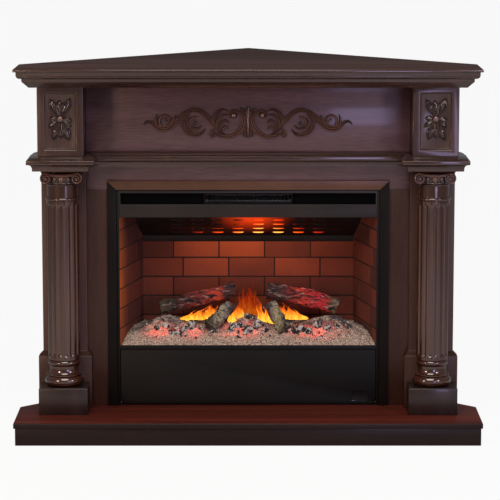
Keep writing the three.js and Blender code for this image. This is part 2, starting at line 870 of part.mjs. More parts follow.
/** Cornice moulding from the bottom up: foot, ogee, fillet and a cove back to the face. */
function corniceProfile() {
  const top = blockBottom;
  const filletTop = top - corniceCove;
  const filletBottom = filletTop - corniceFillet;
  const step = 3;
  const ogee = arc([0, 0], 1, 0, 90, 4).map(([across, up]) => [
    corniceFoot + (corniceProjection - step - corniceFoot) * (1 - across),
    corniceBottom + corniceFootHeight + (filletBottom - quirk - corniceBottom - corniceFootHeight) * up,
  ]);
  const cove = arc([0, 0], 1, 180, 90, 4).map(([across, up]) => [
    1 + (corniceProjection - step - 1) * -across * (1 - up * up * 0.4),
    filletTop + quirk + (corniceCove - quirk) * up,
  ]);
  return [
    [corniceFoot, corniceBottom],
    ...ogee,
    [corniceProjection, filletBottom],
    [corniceProjection, filletTop],
    ...cove,
  ];
}

/** Right cornice length, wrapped round the corner block. */
function corniceBlock() {
  const plan = (projection) => {
    const side = blockWidth / 2 + projection;
    const front = -(blockProjection + projection);
    return [
      [columnX - side, front],
      [columnX + side, front],
      [columnX + side, -jointGap],
      [columnX - side, -jointGap],
    ];
  };
  return mouldedBoard(plan, corniceProfile());
}

/** Cornice length across the middle, whose ends fit the returns of the outer two. */
function corniceCentre() {
  const plan = (projection) => {
    const half = blockInner - projection - jointGap;
    const front = -(friezeThickness + projection);
    return [[-half, front], [half, front], [half, -jointGap], [-half, -jointGap]];
  };
  return mouldedBoard(plan, corniceProfile());
}

// ---------------------------------------------------------------- bronze trim

/** Right rail of the trim, mitred at its top. */
function trimSide() {
  const inner = insertHalf + jointGap;
  const outer = inner + trimWidth;
  const mitre = insertTop + jointGap;
  const lower = jointGap * Math.SQRT2;
  const section = [
    [inner, hearthTop + jointGap],
    [outer, hearthTop + jointGap],
    [outer, mitre + trimWidth - lower],
    [inner, mitre - lower],
  ];
  return alongY(section, [-trimThickness, -jointGap]);
}

/** Top rail of the trim. */
function trimTop() {
  const inner = insertHalf + jointGap;
  const outer = inner + trimWidth;
  const mitre = insertTop + jointGap;
  const section = [[-inner, mitre], [inner, mitre], [outer, mitre + trimWidth], [-outer, mitre + trimWidth]];
  return alongY(section, [-trimThickness, -jointGap]);
}

// ---------------------------------------------------------------- insert case

/** Half width inside or outside the tapered case at a depth behind the front. */
function caseHalf(y, inset = 0) {
  const straight = panelThickness;
  const share = Math.max(0, (y - straight) / (insertDepth - straight));
  return insertHalf - inset - (insertHalf - insertBackWidth / 2) * share;
}

/** Half width between the brick linings at a depth behind the front. */
function liningHalf(y, inset = 0) {
  const front = insertHalf - frameLip;
  return front - inset - ((front - fireboxBackWidth / 2) * y) / fireboxDepth;
}

/** Plan of a tapered sheet that fills the case, from one depth to another. */
function casePlan([y0, y1], inset) {
  const depths = y0 < panelThickness ? [y0, panelThickness, y1] : [y0, y1];
  const right = depths.map((y) => [caseHalf(y, inset), y]);
  const left = depths.map((y) => [-caseHalf(y, inset), y]).reverse();
  return [...right, ...left];
}

/** Plan between the brick linings, from one depth to another. */
function liningPlan([y0, y1], inset) {
  return [
    [-liningHalf(y0, inset), y0],
    [liningHalf(y0, inset), y0],
    [liningHalf(y1, inset), y1],
    [-liningHalf(y1, inset), y1],
  ];
}

/** Right side sheet, folded at the front into the flange that frames the insert. */
function caseSide() {
  const back = insertDepth - sheet - jointGap;
  const plan = [
    [insertHalf - frameLip, -fasciaProud],
    [insertHalf, -fasciaProud],
    [insertHalf, panelThickness],
    [caseHalf(back), back],
    [caseHalf(back, sheet), back],
    [caseHalf(panelThickness, sheet), panelThickness],
    [insertHalf - sheet, 0],
    [insertHalf - frameLip, 0],
  ];
  return alongZ(plan, [insertBottom + sheet + jointGap, caseTopBottom - jointGap]);
}

/** Back sheet of the case, with the hole for the cable gland. */
function caseBack() {
  const half = insertBackWidth / 2;
  const wall = board(
    [-half, half],
    [insertDepth - sheet, insertDepth],
    [insertBottom + sheet + jointGap, caseTopBottom - jointGap],
  );
  const hole = rodAlongY(glandRadius * 0.7 + jointGap, [insertDepth - 20, insertDepth + 20], glandPlace());
  return cut(wall, hole);
}

/** Top sheet of the case, out to the front edge. */
function caseTop() {
  return alongZ(casePlan([-fasciaProud, insertDepth], 0), [caseTopBottom, insertTop]);
}

/** Floor sheet of the case, which rests on the hearth behind the swing of the flap. */
function caseFloor() {
  const front = hingeInset + hingeRadius * 5;
  return alongZ(casePlan([front, insertDepth], 0), [insertBottom, insertBottom + sheet]);
}

/** Upper fascia: the bar over the fire, and above it the air slot with a window for the outlet. */
function upperFascia() {
  const top = caseTopBottom - jointGap;
  const body = board([-fasciaHalf, fasciaHalf], [-fasciaProud, fasciaBack], [fasciaBottom, top]);
  const slot = board(
    [-fasciaHalf + 3, fasciaHalf - 3],
    [-fasciaProud * 2, slotDepth - fasciaProud],
    [slotBottom, slotBottom + slotHeight],
  );
  const outlet = board(
    [-outletWidth / 2, outletWidth / 2],
    [0, fasciaBack * 2],
    [slotBottom + 2, slotBottom + slotHeight - 2],
  );
  return cut(body, slot, outlet);
}

/** Outlet grille: a frame of two rails and two ends, filled with upright fins. */
function outletGrille() {
  const half = outletWidth / 2 - jointGap;
  const bottom = slotBottom + 2 + jointGap;
  const top = slotBottom + slotHeight - 2 - jointGap;
  const depth = [1, slotDepth];
  const rail = 2;
  const fin = 1.4;
  const rails = [
    board([-half, half], depth, [bottom, bottom + rail]),
    board([-half, half], depth, [top - rail, top]),
  ];
  const fins = spread(-half + fin / 2, half - fin / 2, grilleFins + 2)
    .map((x) => board([x - fin / 2, x + fin / 2], depth, [bottom + rail / 2, top - rail / 2]));
  return join(...rails, ...fins);
}

// ---------------------------------------------------------------- firebox

/** Mortar joints as cutting bars on a wall face at y = 0: rows, and staggered uprights. */
function mortarBars([x0, x1], [z0, z1], shift) {
  const reach = [-mortarDepth, mortarDepth];
  const half = mortarWidth / 2;
  const bars = [];
  const courses = Math.floor((z1 - z0) / brickCourse);
  for (let row = 0; row <= courses; row += 1) {
    const bottom = z0 + row * brickCourse;
    const top = Math.min(bottom + brickCourse, z1 + mortarWidth);
    if (row > 0 && bottom < z1 - mortarWidth) {
      bars.push(board([x0 - 1, x1 + 1], reach, [bottom - half, bottom + half]));
    }
    const start = shift + (row % 2) * brickBondShift;
    const first = Math.ceil((x0 - start + mortarWidth) / brickLength);
    for (let x = start + first * brickLength; x < x1 - mortarWidth; x += brickLength) {
      bars.push(board([x - half, x + half], reach, [bottom - (row > 0 ? 0 : 1), top]));
    }
  }
  return bars;
}

/** Brick-effect lining across the back of the firebox. */
function brickBack() {
  const half = liningHalf(fireboxDepth, -brickPanel);
  const bottom = fireboxFloor + sheet + jointGap;
  const top = fasciaBottom - jointGap;
  const wall = board([-half, half], [0, brickBackPanel], [bottom, top]);
  const bars = mortarBars([-half, half], [bottom, top], brickLength * 0.36);
  return cut(wall, ...bars).translate(0, fireboxDepth + jointGap, 0);
}

/** Right brick-effect lining, angled in towards the back and trimmed to the plane of the back lining. */
function brickSide() {
  const [frontX, backX] = [liningHalf(0), liningHalf(fireboxDepth)];
  const length = Math.hypot(frontX - backX, fireboxDepth);
  const turn = Math.atan2(fireboxDepth, backX - frontX);
  const bottom = fireboxFloor + sheet + jointGap;
  const top = fasciaBottom - jointGap;
  const wall = board([jointGap, length + brickPanel], [0, brickPanel], [bottom, top]);
  const bars = mortarBars([0, length], [bottom, top], brickLength * 0.3);
  const panel = mirrored(cut(wall, ...bars)).rotateZ(turn - Math.PI).translate(frontX, 0, 0);
  const behind = board([0, insertWidth], [fireboxDepth, insertDepth], [0, mantelHeight]);
  return cut(panel, behind);
}

/** Side profile of the canopy: flat under the heater, a knee, a slope and an upright lip. */
function canopyLine() {
  const end = fireboxDepth - jointGap;
  const lipTop = canopyTop - sheet - canopyDrop;
  const run = end - canopyKnee;
  const bend = [[0, 0], [0.09, 0.1], [0.19, 0.3], [0.64, 0.74], [0.9, 0.94]];
  return [
    [fasciaBack + jointGap, canopyTop - sheet],
    ...bend.map(([along, down]) => [canopyKnee + run * along, canopyTop - sheet - canopyDrop * down]),
    [end - 1, lipTop],
    [end, lipTop - canopyLip],
  ];
}

/** Canopy over the fire: a bent sheet between the linings, with rows of louvre slots in its slope. */
function canopy() {
  const line = canopyLine();
  const points = line.map(([y, z]) => new THREE.Vector2(y, z));
  const upper = points.map((point, i) => {
    const before = points[Math.max(0, i - 1)];
    const after = points[Math.min(points.length - 1, i + 1)];
    const along = after.clone().sub(before).normalize();
    return [point.x - along.y * sheet, point.y + along.x * sheet];
  });
  const span = [-insertHalf, insertHalf];
  const bent = alongX([...line, ...upper.reverse()], span);
  const room = alongZ(liningPlan([0, fireboxDepth], jointGap), [fireboxFloor, insertTop]);
  const [kneeY, kneeZ] = line[3];
  const [footY, footZ] = line[5];
  const slope = Math.atan2(footZ - kneeZ, footY - kneeY);
  const slots = [];
  spread(0.13, 0.87, louvreRows).forEach((share) => {
    spread(-(louvreColumns - 1) / 2, (louvreColumns - 1) / 2, louvreColumns).forEach((place) => {
      const slot = new THREE.BoxGeometry(louvreWidth, louvreSlot, sheet * 12).rotateX(slope);
      const y = kneeY + (footY - kneeY) * share;
      const z = kneeZ + (footZ - kneeZ) * share;
      slots.push(slot.translate(place * louvrePitch, y, z));
    });
  });
  return cut(common(bent, room), ...slots);
}

/** Floor of the firebox, wide enough to carry the linings, with its front sill and a slot for the mist. */
function fireboxFloorSheet() {
  const back = insertDepth - sheet - jointGap;
  const spare = sheet + jointGap;
  const right = [
    [fasciaHalf, -fasciaProud],
    [fasciaHalf, jointGap],
    [caseHalf(0, spare), jointGap],
    [caseHalf(0, spare), panelThickness],
    [caseHalf(back, spare), back],
  ];
  const left = right.map(([x, y]) => [-x, y]).reverse();
  const plate = alongZ([...right, ...left], [fireboxFloor, fireboxFloor + sheet]);
  const sill = board([-fasciaHalf, fasciaHalf], [-fasciaProud, 0], [fireboxFloor, sillTop]);
  return cut(join(plate, sill), mistSlot());
}

/** Upright slot over the mist unit, from a height up through the floor and the bed. */
function mistSlot(bottom = fireboxFloor - sheet) {
  const half = mistSlotLength / 2;
  const middle = fireboxDepth * 0.55;
  const edge = mistSlotWidth / 2;
  return board([-half, half], [middle - edge, middle + edge], [bottom, fasciaBottom]);
}

/** A round-topped heap of coals centred on a place: its share of full height at (x, y). */
function heap(x, y, [centreX, centreY], [spreadX, spreadY]) {
  return Math.exp(-(((x - centreX) / spreadX) ** 2) - ((y - centreY) / spreadY) ** 2);
}

/** Height of the ember bed at a place across and behind the sill. */
function bedHeight(x, y) {
  const rise = bedFrontRise + (bedPlateau - bedFrontRise) * Math.sin(Math.min(1, (y / fireboxDepth) * 2) * Math.PI * 0.5);
  const middle = bedHeap * heap(x, y, [0, fireboxDepth * 0.56], [70, 44]);
  const side = bedHeap * 0.8 * heap(Math.abs(x), y, [logReach - logRadius, fireboxDepth * 0.58], [60, 44]);
  const lumps = Math.sin(x * 0.11 + y * 0.05) * Math.sin(y * 0.13 - x * 0.03) + 0.6 * Math.sin(x * 0.23 + y * 0.19);
  return rise + middle + side + bedLumps * lumps * Math.min(1, (y / fireboxDepth) * 6);
}

/** Moulded bed of ash and embers: a lumpy mound between the linings. */
function emberMound() {
  const columns = 32;
  const rows = 10;
  const bottom = fireboxFloor + sheet + jointGap;
  const start = jointGap;
  const end = fireboxDepth - 1;
  const rings = spread(start, end, rows).map((y) => {
    const half = liningHalf(y, 1);
    const top = spread(-half, half, columns).map((x) => [x, y, bottom + bedHeight(x, y)]);
    return [[half, y, bottom], [-half, y, bottom], ...top];
  });
  return loft(rings.map((ring) => [...ring].reverse()));
}

/** A rough log between two ends, with the girth swelling and dipping along its length. */
function log({ from, to, radius, bend, seed }, spare = 0) {
  const start = new THREE.Vector3(...from);
  const end = new THREE.Vector3(...to);
  const middle = start.clone().add(end).multiplyScalar(0.5).add(new THREE.Vector3(...bend));
  const curve = new THREE.QuadraticBezierCurve3(start, middle, end);
  const stretch = spare / start.distanceTo(end);
  const sides = 9;
  const rings = spread(0, 1, 7).map((share, level) => {
    const place = share + (share - 0.5) * 2 * stretch;
    const centre = curve.getPoint(place);
    const along = curve.getTangent(share).normalize();
    const side = axisZ.clone().cross(along).normalize();
    const up = along.clone().cross(side);
    return Array.from({ length: sides }, (_, i) => {
      const angle = (i / sides) * Math.PI * 2;
      const knot = 1 + 0.1 * Math.sin(seed + level * 2.3) + 0.08 * Math.sin(seed * 3 + i * 2.1 + level);
      const girth = radius * knot + spare;
      const point = centre.clone()
        .addScaledVector(side, girth * Math.cos(angle))
        .addScaledVector(up, girth * Math.sin(angle));
      return point.toArray();
    });
  });
  return loft(rings);
}

/** The four logs by their ends: two lie across the back, two lean up to them from the front. */
function logPlan() {
  const base = fireboxFloor + sheet;
  const back = fireboxDepth * 0.69;
  const front = fireboxDepth * 0.29;
  const head = fireboxDepth * 0.58;
  return {
    log_left: {
      from: [-logReach, back - 5, base + logRise],
      to: [-logMeeting + 8, back + 5, base + logPeak],
      radius: logRadius - 2,
      bend: [0, 4, 2],
      seed: 1,
    },
    log_right: {
      from: [logReach + 4, back - 5, base + logRise + 4],
      to: [logMeeting + 8, back + 5, base + logPeak - 4],
      radius: logRadius + 2,
      bend: [6, 2, 10],
      seed: 2,
    },
    log_front_left: {
      from: [-leanFoot, front, base + leanRise],
      to: [-logMeeting - 4, head, base + leanPeak],
      radius: leanRadius,
      bend: [0, 0, 3],
      seed: 4,
    },
    log_front_right: {
      from: [leanFoot - 6, front - 8, base + leanRise - 6],
      to: [logMeeting + 18, head, base + leanPeak],
      radius: leanRadius,
      bend: [0, 0, 3],
      seed: 7,
    },
  };
}

/** A leaning log, hollowed where it meets the log across the back. */
function leaningLog(plan, backPlan) {
  return cut(log(plan), log(backPlan, jointGap));
}

/** Ember bed with a seat under each log and the mist slot through it. */
function emberBed() {
  const seats = Object.values(logPlan()).map((plan) => log(plan, jointGap));
  return cut(emberMound(), mistSlot(), ...seats);
}

// ---------------------------------------------------------------- heater

/** Axis of the fan, whose housing stands on the canopy, as [y, z]. */
function fanAxis() {
  return [canopyKnee * 0.62, canopyTop + jointGap + rotorRadius + runningClearance + sheet];
}

/** Cross-flow rotor: two discs joined by a ring of leaning blades, with a stub shaft each end. */
function fanRotor() {
  const [y, z] = fanAxis();
  const half = rotorLength / 2;
  const disc = 2;
  const discs = [-half, half - disc].map((x) => rodAlongX(rotorRadius, [x, x + disc], [y, z], 24));
  const shaft = rodAlongX(rotorShaft, [-half - 6, half + 6], [y, z], 12);
  const blades = Array.from({ length: rotorBlades }, (_, i) => {
    const blade = new THREE.BoxGeometry(rotorLength - disc, 1.2, rotorRadius * 0.36);
    blade.rotateX(0.5).translate(0, 0, rotorRadius * 0.78);
    return blade.rotateX((i / rotorBlades) * Math.PI * 2).translate(0, y, z);
  });
  return join(...discs, shaft, ...blades);
}

/** Fan housing: a scroll round the rotor that opens to the front, end plates and the motor. */
function fanHousing() {
  const [y, z] = fanAxis();
  const inner = rotorRadius + runningClearance;
  const outer = inner + sheet;
  const half = rotorLength / 2 + runningClearance;
  const scroll = [
    ...arc([y, z], outer, -115, 115, 11),
    ...arc([y, z], inner, 115, -115, 11),
  ];
  const plate = (x) => cut(
    rodAlongX(outer, [x, x + sheet], [y, z], 20),
    rodAlongX(rotorShaft + knuckleClearance, [x - 1, x + sheet + 1], [y, z], 12),
  );
  const shell = alongX(scroll, [-half, half + sheet]);
  const motorStart = half + sheet + 6;
  const motor = rodAlongX(motorRadius * 0.9, [motorStart, motorStart + motorLength], [y, z], 20);
  const sleeve = cut(
    rodAlongX(rotorShaft * 3, [half, motorStart + 1], [y, z], 16),
    rodAlongX(rotorShaft + knuckleClearance, [half - 1, motorStart - 1], [y, z], 12),
  );
  return join(shell, plate(-half - sheet), plate(half), sleeve, motor);
}

/** Finned heating element between the outlet and the fan, on two end plates that stand on the canopy. */
function heatingElement() {
  const [fanY, z] = fanAxis();
  const back = fanY - rotorRadius - runningClearance - sheet;
  const middle = (fasciaBack + back) / 2;
  const depth = [middle - elementDepth / 2, middle + elementDepth / 2];
  const half = elementWidth / 2;
  const low = z - elementHeight / 2;
  const high = z + elementHeight / 2;
  const rails = [
    board([-half, half], depth, [low, low + elementRail]),
    board([-half, half], depth, [high - elementRail, high]),
  ];
  const fins = spread(-half, half, elementFins + 2).slice(1, -1)
    .map((x) => board([x - elementRail / 2, x + elementRail / 2], depth, [low + 1, high - 1]));
  const ends = [-1, 1].map((side) => {
    const span = [side * half - elementRail / 2, side * half + elementRail / 2];
    return board(span, depth, [canopyTop + jointGap, high + elementRail]);
  });
  return join(...rails, ...fins, ...ends);
}

// ---------------------------------------------------------------- flap and compartment

/** Hinge axis of the flap, as [y, z]. */
const hingeAxis = [hingeInset - fasciaProud / 2, flapBottom + hingeInset - 1];

/** Places of the three hinge knuckles across the flap. */
function knucklePlaces() {
  return spread(-fasciaHalf * 0.72, fasciaHalf * 0.72, 3);
}

/** Access flap: a folded pan with a finger lip, a small window and three knuckles on its lower edge. */
function accessFlap() {
  const half = fasciaHalf - 1;
  const face = -fasciaProud / 2;
  const depth = hingeInset * 2;
  const wall = 1.5;
  const knuckle = hingeRadius + knuckleClearance + wall;
  const inside = flapBottom + hingeInset * 2;
  const pan = board([-half, half], [face, face + depth], [inside - wall, flapTop]);
  const hollow = board([-half + wall, half - wall], [face + wall, face + depth + 1], [inside, flapTop - wall]);
  const apron = board([-half, half], [face, face + wall], [flapBottom, inside]);
  const receiver = board(
    [half - 60, half - 26],
    [face - 1, face + wall / 2],
    [flapBottom + 8, flapBottom + 34],
  );
  const lugs = knucklePlaces().map((x) => {
    const span = [x - knuckleLength / 2, x + knuckleLength / 2];
    const barrel = rodAlongX(knuckle, span, hingeAxis, 16);
    const bridge = board(span, [face + wall / 2, hingeAxis[0]], [hingeAxis[1] - wall, hingeAxis[1] + wall]);
    return join(barrel, bridge);
  });
  const bores = knucklePlaces().map((x) => rodAlongX(
    hingeRadius + knuckleClearance,
    [x - knuckleLength, x + knuckleLength],
    hingeAxis,
    16,
  ));
  const body = join(cut(pan, hollow), apron, ...lugs);
  return cut(body, receiver, ...bores);
}

/** Rod through the knuckles, with a collar at each end against the case sides. */
function flapHingeRod() {
  const half = caseHalf(0, sheet + jointGap);
  const rod = rodAlongX(hingeRadius, [-half, half], hingeAxis, 14);
  const collars = [[-half, -fasciaHalf], [fasciaHalf, half]].map((span) => rodAlongX(hingeRadius * 2, span, hingeAxis, 14));
  return join(rod, ...collars);
}

/** Middle of the console, left of the mist unit. */
const consoleX = -(fasciaHalf - consoleWidth / 2 - consoleSideRoom);

/** Places of the controls on the console, as [x, z]. */
function controlPlaces() {
  const z = insertBottom + sheet + jointGap + consoleHeight * 0.58;
  return {
    power: [consoleX - controlPitch, z],
    flame: [consoleX, z],
    heat: [consoleX + controlPitch, z],
  };
}

/** Console: an upright plate on a folded foot, with openings for its three controls. */
function controlPanel() {
  const bottom = insertBottom + sheet + jointGap;
  const span = [consoleX - consoleWidth / 2, consoleX + consoleWidth / 2];
  const plate = board(span, [consoleSetback, consoleSetback + sheet], [bottom, bottom + consoleHeight]);
  const foot = board(span, [consoleSetback, consoleSetback + consoleFoot], [bottom, bottom + sheet]);
  const places = controlPlaces();
  const through = [consoleSetback - 1, consoleSetback + sheet + 1];
  const holes = [places.flame, places.heat].map((place) => rodAlongY(buttonRadius + buttonClearance, through, place, 20));
  const [x, z] = places.power;
  const window = board(
    [x - rockerWidth / 2 - buttonClearance, x + rockerWidth / 2 + buttonClearance],
    through,
    [z - rockerRadius - 1, z + rockerRadius + 1],
  );
  return cut(join(plate, foot), ...holes, window);
}

/** Push-button at a place: a rounded cap on a stem through the console. */
function pushButton([x, z]) {
  const front = consoleSetback - buttonProud;
  const profile = [
    [0, -front],
    [buttonRadius * 0.72, -front],
    [buttonRadius, -front - 1.4],
    [buttonRadius, -consoleSetback - sheet - 6],
    [0, -consoleSetback - sheet - 6],
  ];
  return turned(profile, [0, 0], 20).rotateX(Math.PI / 2).translate(x, 0, z);
}

/** Rocker switch at a place: a drum with a hollow face, at rest with its upper half pressed in. */
function rockerSwitch([x, z]) {
  const face = -rockerRadius;
  const section = [
    [face + 4.5, 0],
    [face + 0.9, -rockerRadius * 0.62],
    ...arc([0, 0], rockerRadius, -135, 135, 10),
    [face + 0.9, rockerRadius * 0.62],
  ];
  const drum = alongX(section, [x - rockerWidth / 2, x + rockerWidth / 2]);
  return drum.rotateX(THREE.MathUtils.degToRad(rockerTilt)).translate(0, consoleSetback + rockerInset, z);
}

/** Water tank: a rounded bottle with a filler cap and a finger recess, right of the mist unit. */
function waterTank() {
  const front = consoleSetback * 0.6;
  const back = front + tankDepth;
  const right = caseHalf(back, sheet) - tankCorner / 2;
  const left = right - tankWidth;
  const bottom = insertBottom + sheet + jointGap;
  const plan = (setback) => {
    const corner = tankCorner;
    const corners = [
      [right - corner, front + corner, -90],
      [right - corner, back - corner, 0],
      [left + corner, back - corner, 90],
      [left + corner, front + corner, 180],
    ];
    return corners.flatMap(([x, y, angle]) => arc([x, y], corner + setback, angle, angle + 90, 4));
  };
  const body = mouldedBoard(plan, [
    [-6, bottom],
    [0, bottom + 6],
    [0, bottom + tankHeight - 6],
    [-6, bottom + tankHeight],
  ]);
  const grip = rodAlongX(14, [left + tankWidth * 0.3, right - tankWidth * 0.3], [front - 4, bottom + tankHeight * 0.7]);
  const top = bottom + tankHeight;
  const cap = turned(
    [[0, top - 1], [17, top - 1], [17, top + 8], [15, top + 10], [0, top + 10]],
    [(left + right) / 2, front + tankDepth * 0.35],
    20,
  );
  return join(cut(body, grip), cap);
}

/** Mist unit: a closed basin with a funnel that leads up to the slot in the firebox floor. */
function mistUnit() {
  const middle = fireboxDepth * 0.55;
  const bottom = insertBottom + sheet + jointGap;
  const top = fireboxFloor - jointGap;
  const wall = 3;
  const ring = (width, depth, z) => [
    [-width / 2, middle - depth / 2, z],
    [width / 2, middle - depth / 2, z],
    [width / 2, middle + depth / 2, z],
    [-width / 2, middle + depth / 2, z],
  ];
  const skin = loft([
    ring(mistBasinWidth, mistBasinDepth, bottom),
    ring(mistBasinWidth, mistBasinDepth, bottom + mistBasinHeight),
    ring(mistSlotLength + wall * 2, mistSlotWidth + wall * 2, top),
  ]);
  return cut(skin, mistSlot(top - mistDuctDepth));
}

/** Place of the cable gland on the back sheet, as [x, z]. */
function glandPlace() {
  return [-insertBackWidth * 0.34, insertBottom + 46];
}

/** Cable gland: a nut against the back sheet, a threaded neck through it, and a bore for the lead. */
function cableGland() {
  const place = glandPlace();
  const nut = rodAlongY(glandRadius, [insertDepth + jointGap, insertDepth + glandLength], place, 6);
  const neck = rodAlongY(glandRadius * 0.7, [insertDepth - 8, insertDepth + 1], place, 20);
  const dome = rodAlongY(glandRadius * 0.8, [insertDepth + glandLength - 1, insertDepth + glandLength + 5], place, 20);
  const bore = rodAlongY(glandBore, [insertDepth - 20, insertDepth + glandLength * 3], place, 12);
  return cut(join(nut, neck, dome), bore);
}

// ---------------------------------------------------------------- assembly

const fireplace = new THREE.Group();
fireplace.position.y = panelY;

/** Adds one named piece. */
function add(name, geometry, material) {
  const mesh = new THREE.Mesh(clean(geometry), material);
  mesh.name = name;
  fireplace.add(mesh);
}

/** Adds a right-hand piece and its mirror image. */
function addPair(name, geometry, material) {
  add(`${name}_right`, geometry, material);
  add(`${name}_left`, mirrored(geometry), material);
}

add('mantel_shelf', mantelShelf(), mahogany);
add('crown_board', crownBoard(), mahogany);
add('front_header', frontHeader(), mahogany);
addPair('front_stile', frontStile(), mahogany);
addPair('wall_board', wallBoardPanel(), rawBoard);

add('hearth_slab', hearthSlab(), mahogany);
add('plinth_front', plinthFront(), mahogany);
addPair('plinth_side', plinthSide(), mahogany);

addPair('pedestal', pedestal(), mahogany);
addPair('pilaster', pilaster(), mahogany);
addPair('column', column(), mahogany);
addPair('capital', capital(), carvedMahogany);

addPair('corner_block', cornerBlock(), mahogany);
addPair('rosette', rosette(), carvedMahogany);
add('frieze_board', friezeBoard(), mahogany);
add('frieze_carving', friezeCarving(), carvedMahogany);
addPair('cornice', corniceBlock(), mahogany);
add('cornice_centre', corniceCentre(), mahogany);

addPair('trim', trimSide(), bronze);
add('trim_top', trimTop(), bronze);

addPair('case_side', caseSide(), blackSteel);
add('case_back', caseBack(), zincSteel);
add('case_top', caseTop(), blackSteel);
add('case_floor', caseFloor(), zincSteel);
add('upper_fascia', upperFascia(), blackSteel);
add('outlet_grille', outletGrille(), blackSteel);

add('brick_back', brickBack(), brick);
addPair('brick_side', brickSide(), brick);
add('canopy', canopy(), blackSteel);
add('firebox_floor', fireboxFloorSheet(), blackSteel);
add('ember_bed', emberBed(), ash);
const logs = logPlan();
add('log_left', log(logs.log_left), charredLog);
add('log_right', log(logs.log_right), charredLog);
add('log_front_left', leaningLog(logs.log_front_left, logs.log_left), charredLog);
add('log_front_right', leaningLog(logs.log_front_right, logs.log_right), charredLog);

add('fan_rotor', fanRotor(), aluminium);
add('fan_housing', fanHousing(), zincSteel);
add('heating_element', heatingElement(), aluminium);

add('access_flap', accessFlap(), blackSteel);
add('flap_hinge_rod', flapHingeRod(), zincSteel);
add('control_panel', controlPanel(), blackSteel);
add('power_rocker', rockerSwitch(controlPlaces().power), redPlastic);
add('flame_button', pushButton(controlPlaces().flame), blackPlastic);
add('heat_button', pushButton(controlPlaces().heat), blackPlastic);
add('water_tank', waterTank(), tankPlastic);
add('mist_unit', mistUnit(), blackPlastic);
add('cable_gland', cableGland(), blackPlastic);

export default fireplace;
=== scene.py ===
"""Corner fireplace with an electric insert: the finish of every surface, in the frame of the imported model.

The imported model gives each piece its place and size. Boards and sheet metal are eased copies of its
solids; the turned columns, the capitals, the carving and the fire are modelled here in full.
"""

import json
import logging
import math
import random
from collections.abc import Callable, Iterator, Sequence
from contextlib import contextmanager
from dataclasses import dataclass, field
from enum import Enum

import bmesh
import bpy
from mathutils import Euler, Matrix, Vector


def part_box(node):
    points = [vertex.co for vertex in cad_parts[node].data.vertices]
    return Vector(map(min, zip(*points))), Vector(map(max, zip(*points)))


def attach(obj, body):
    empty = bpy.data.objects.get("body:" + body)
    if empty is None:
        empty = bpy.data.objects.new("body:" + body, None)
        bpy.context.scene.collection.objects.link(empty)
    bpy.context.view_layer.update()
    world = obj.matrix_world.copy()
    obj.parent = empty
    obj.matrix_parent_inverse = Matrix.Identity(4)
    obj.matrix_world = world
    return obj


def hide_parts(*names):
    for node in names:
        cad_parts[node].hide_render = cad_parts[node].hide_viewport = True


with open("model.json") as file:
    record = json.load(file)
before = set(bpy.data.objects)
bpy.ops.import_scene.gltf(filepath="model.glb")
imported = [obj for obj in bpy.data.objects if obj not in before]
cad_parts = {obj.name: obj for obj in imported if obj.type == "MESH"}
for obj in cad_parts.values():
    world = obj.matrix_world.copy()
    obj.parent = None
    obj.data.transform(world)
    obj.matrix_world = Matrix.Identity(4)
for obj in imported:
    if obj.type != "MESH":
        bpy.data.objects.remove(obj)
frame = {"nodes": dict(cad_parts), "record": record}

log = logging.getLogger("fireplace")

MM = 0.001
# left free between a modelled piece and the board behind it
GAP = 0.3 * MM
# vertices of a CAD copy, and of a modelled piece, that lie closer than this are one
MERGE = 0.005 * MM
WELD = 0.01 * MM
# shares of a carved strand's relief and width that its stem and ridges take up
STEM_RELIEF = 0.36
RIDGE_RELIEF = 0.5
RIDGE_SPREAD = 0.92
RIDGE_WIDTH = 0.78
THINNEST_RIDGE = 0.8

Colour = tuple[float, float, float]
Tint = str | Colour
Sheet = tuple[str, float, int, tuple[str, ...]]
Line = Sequence[tuple[float, float, float]]
Test = Callable[[Vector], bool]

UNLIT: Colour = (0.0, 0.0, 0.0)

BODY_OF: dict[str, str] = {
    node: body for body, nodes in frame["record"]["behaviour"]["bodies"].items() for node in nodes
}


class Grain(Enum):
    """Direction that the grain of a board runs in."""

    ACROSS = (0.06, 1.0, 1.0)
    DEEP = (1.0, 0.06, 1.0)
    UPRIGHT = (1.0, 1.0, 0.06)


class Side(Enum):
    """Left or right half of the mantel, seen from the front."""

    LEFT = -1
    RIGHT = 1


# ------------------------------------------------------------------ shader building


def linear(colour: Tint) -> Colour:
    """Turns a colour into linear red, green and blue.

    Args:
        colour: The linear values themselves, or six hex digits as the colour looks on a screen.

    Returns:
        The three linear values.
    """
    if not isinstance(colour, str):
        return colour
    parts = [int(colour[i : i + 2], 16) / 255 for i in (0, 2, 4)]
    return tuple(c / 12.92 if c <= 0.04045 else ((c + 0.055) / 1.055) ** 2.4 for c in parts)


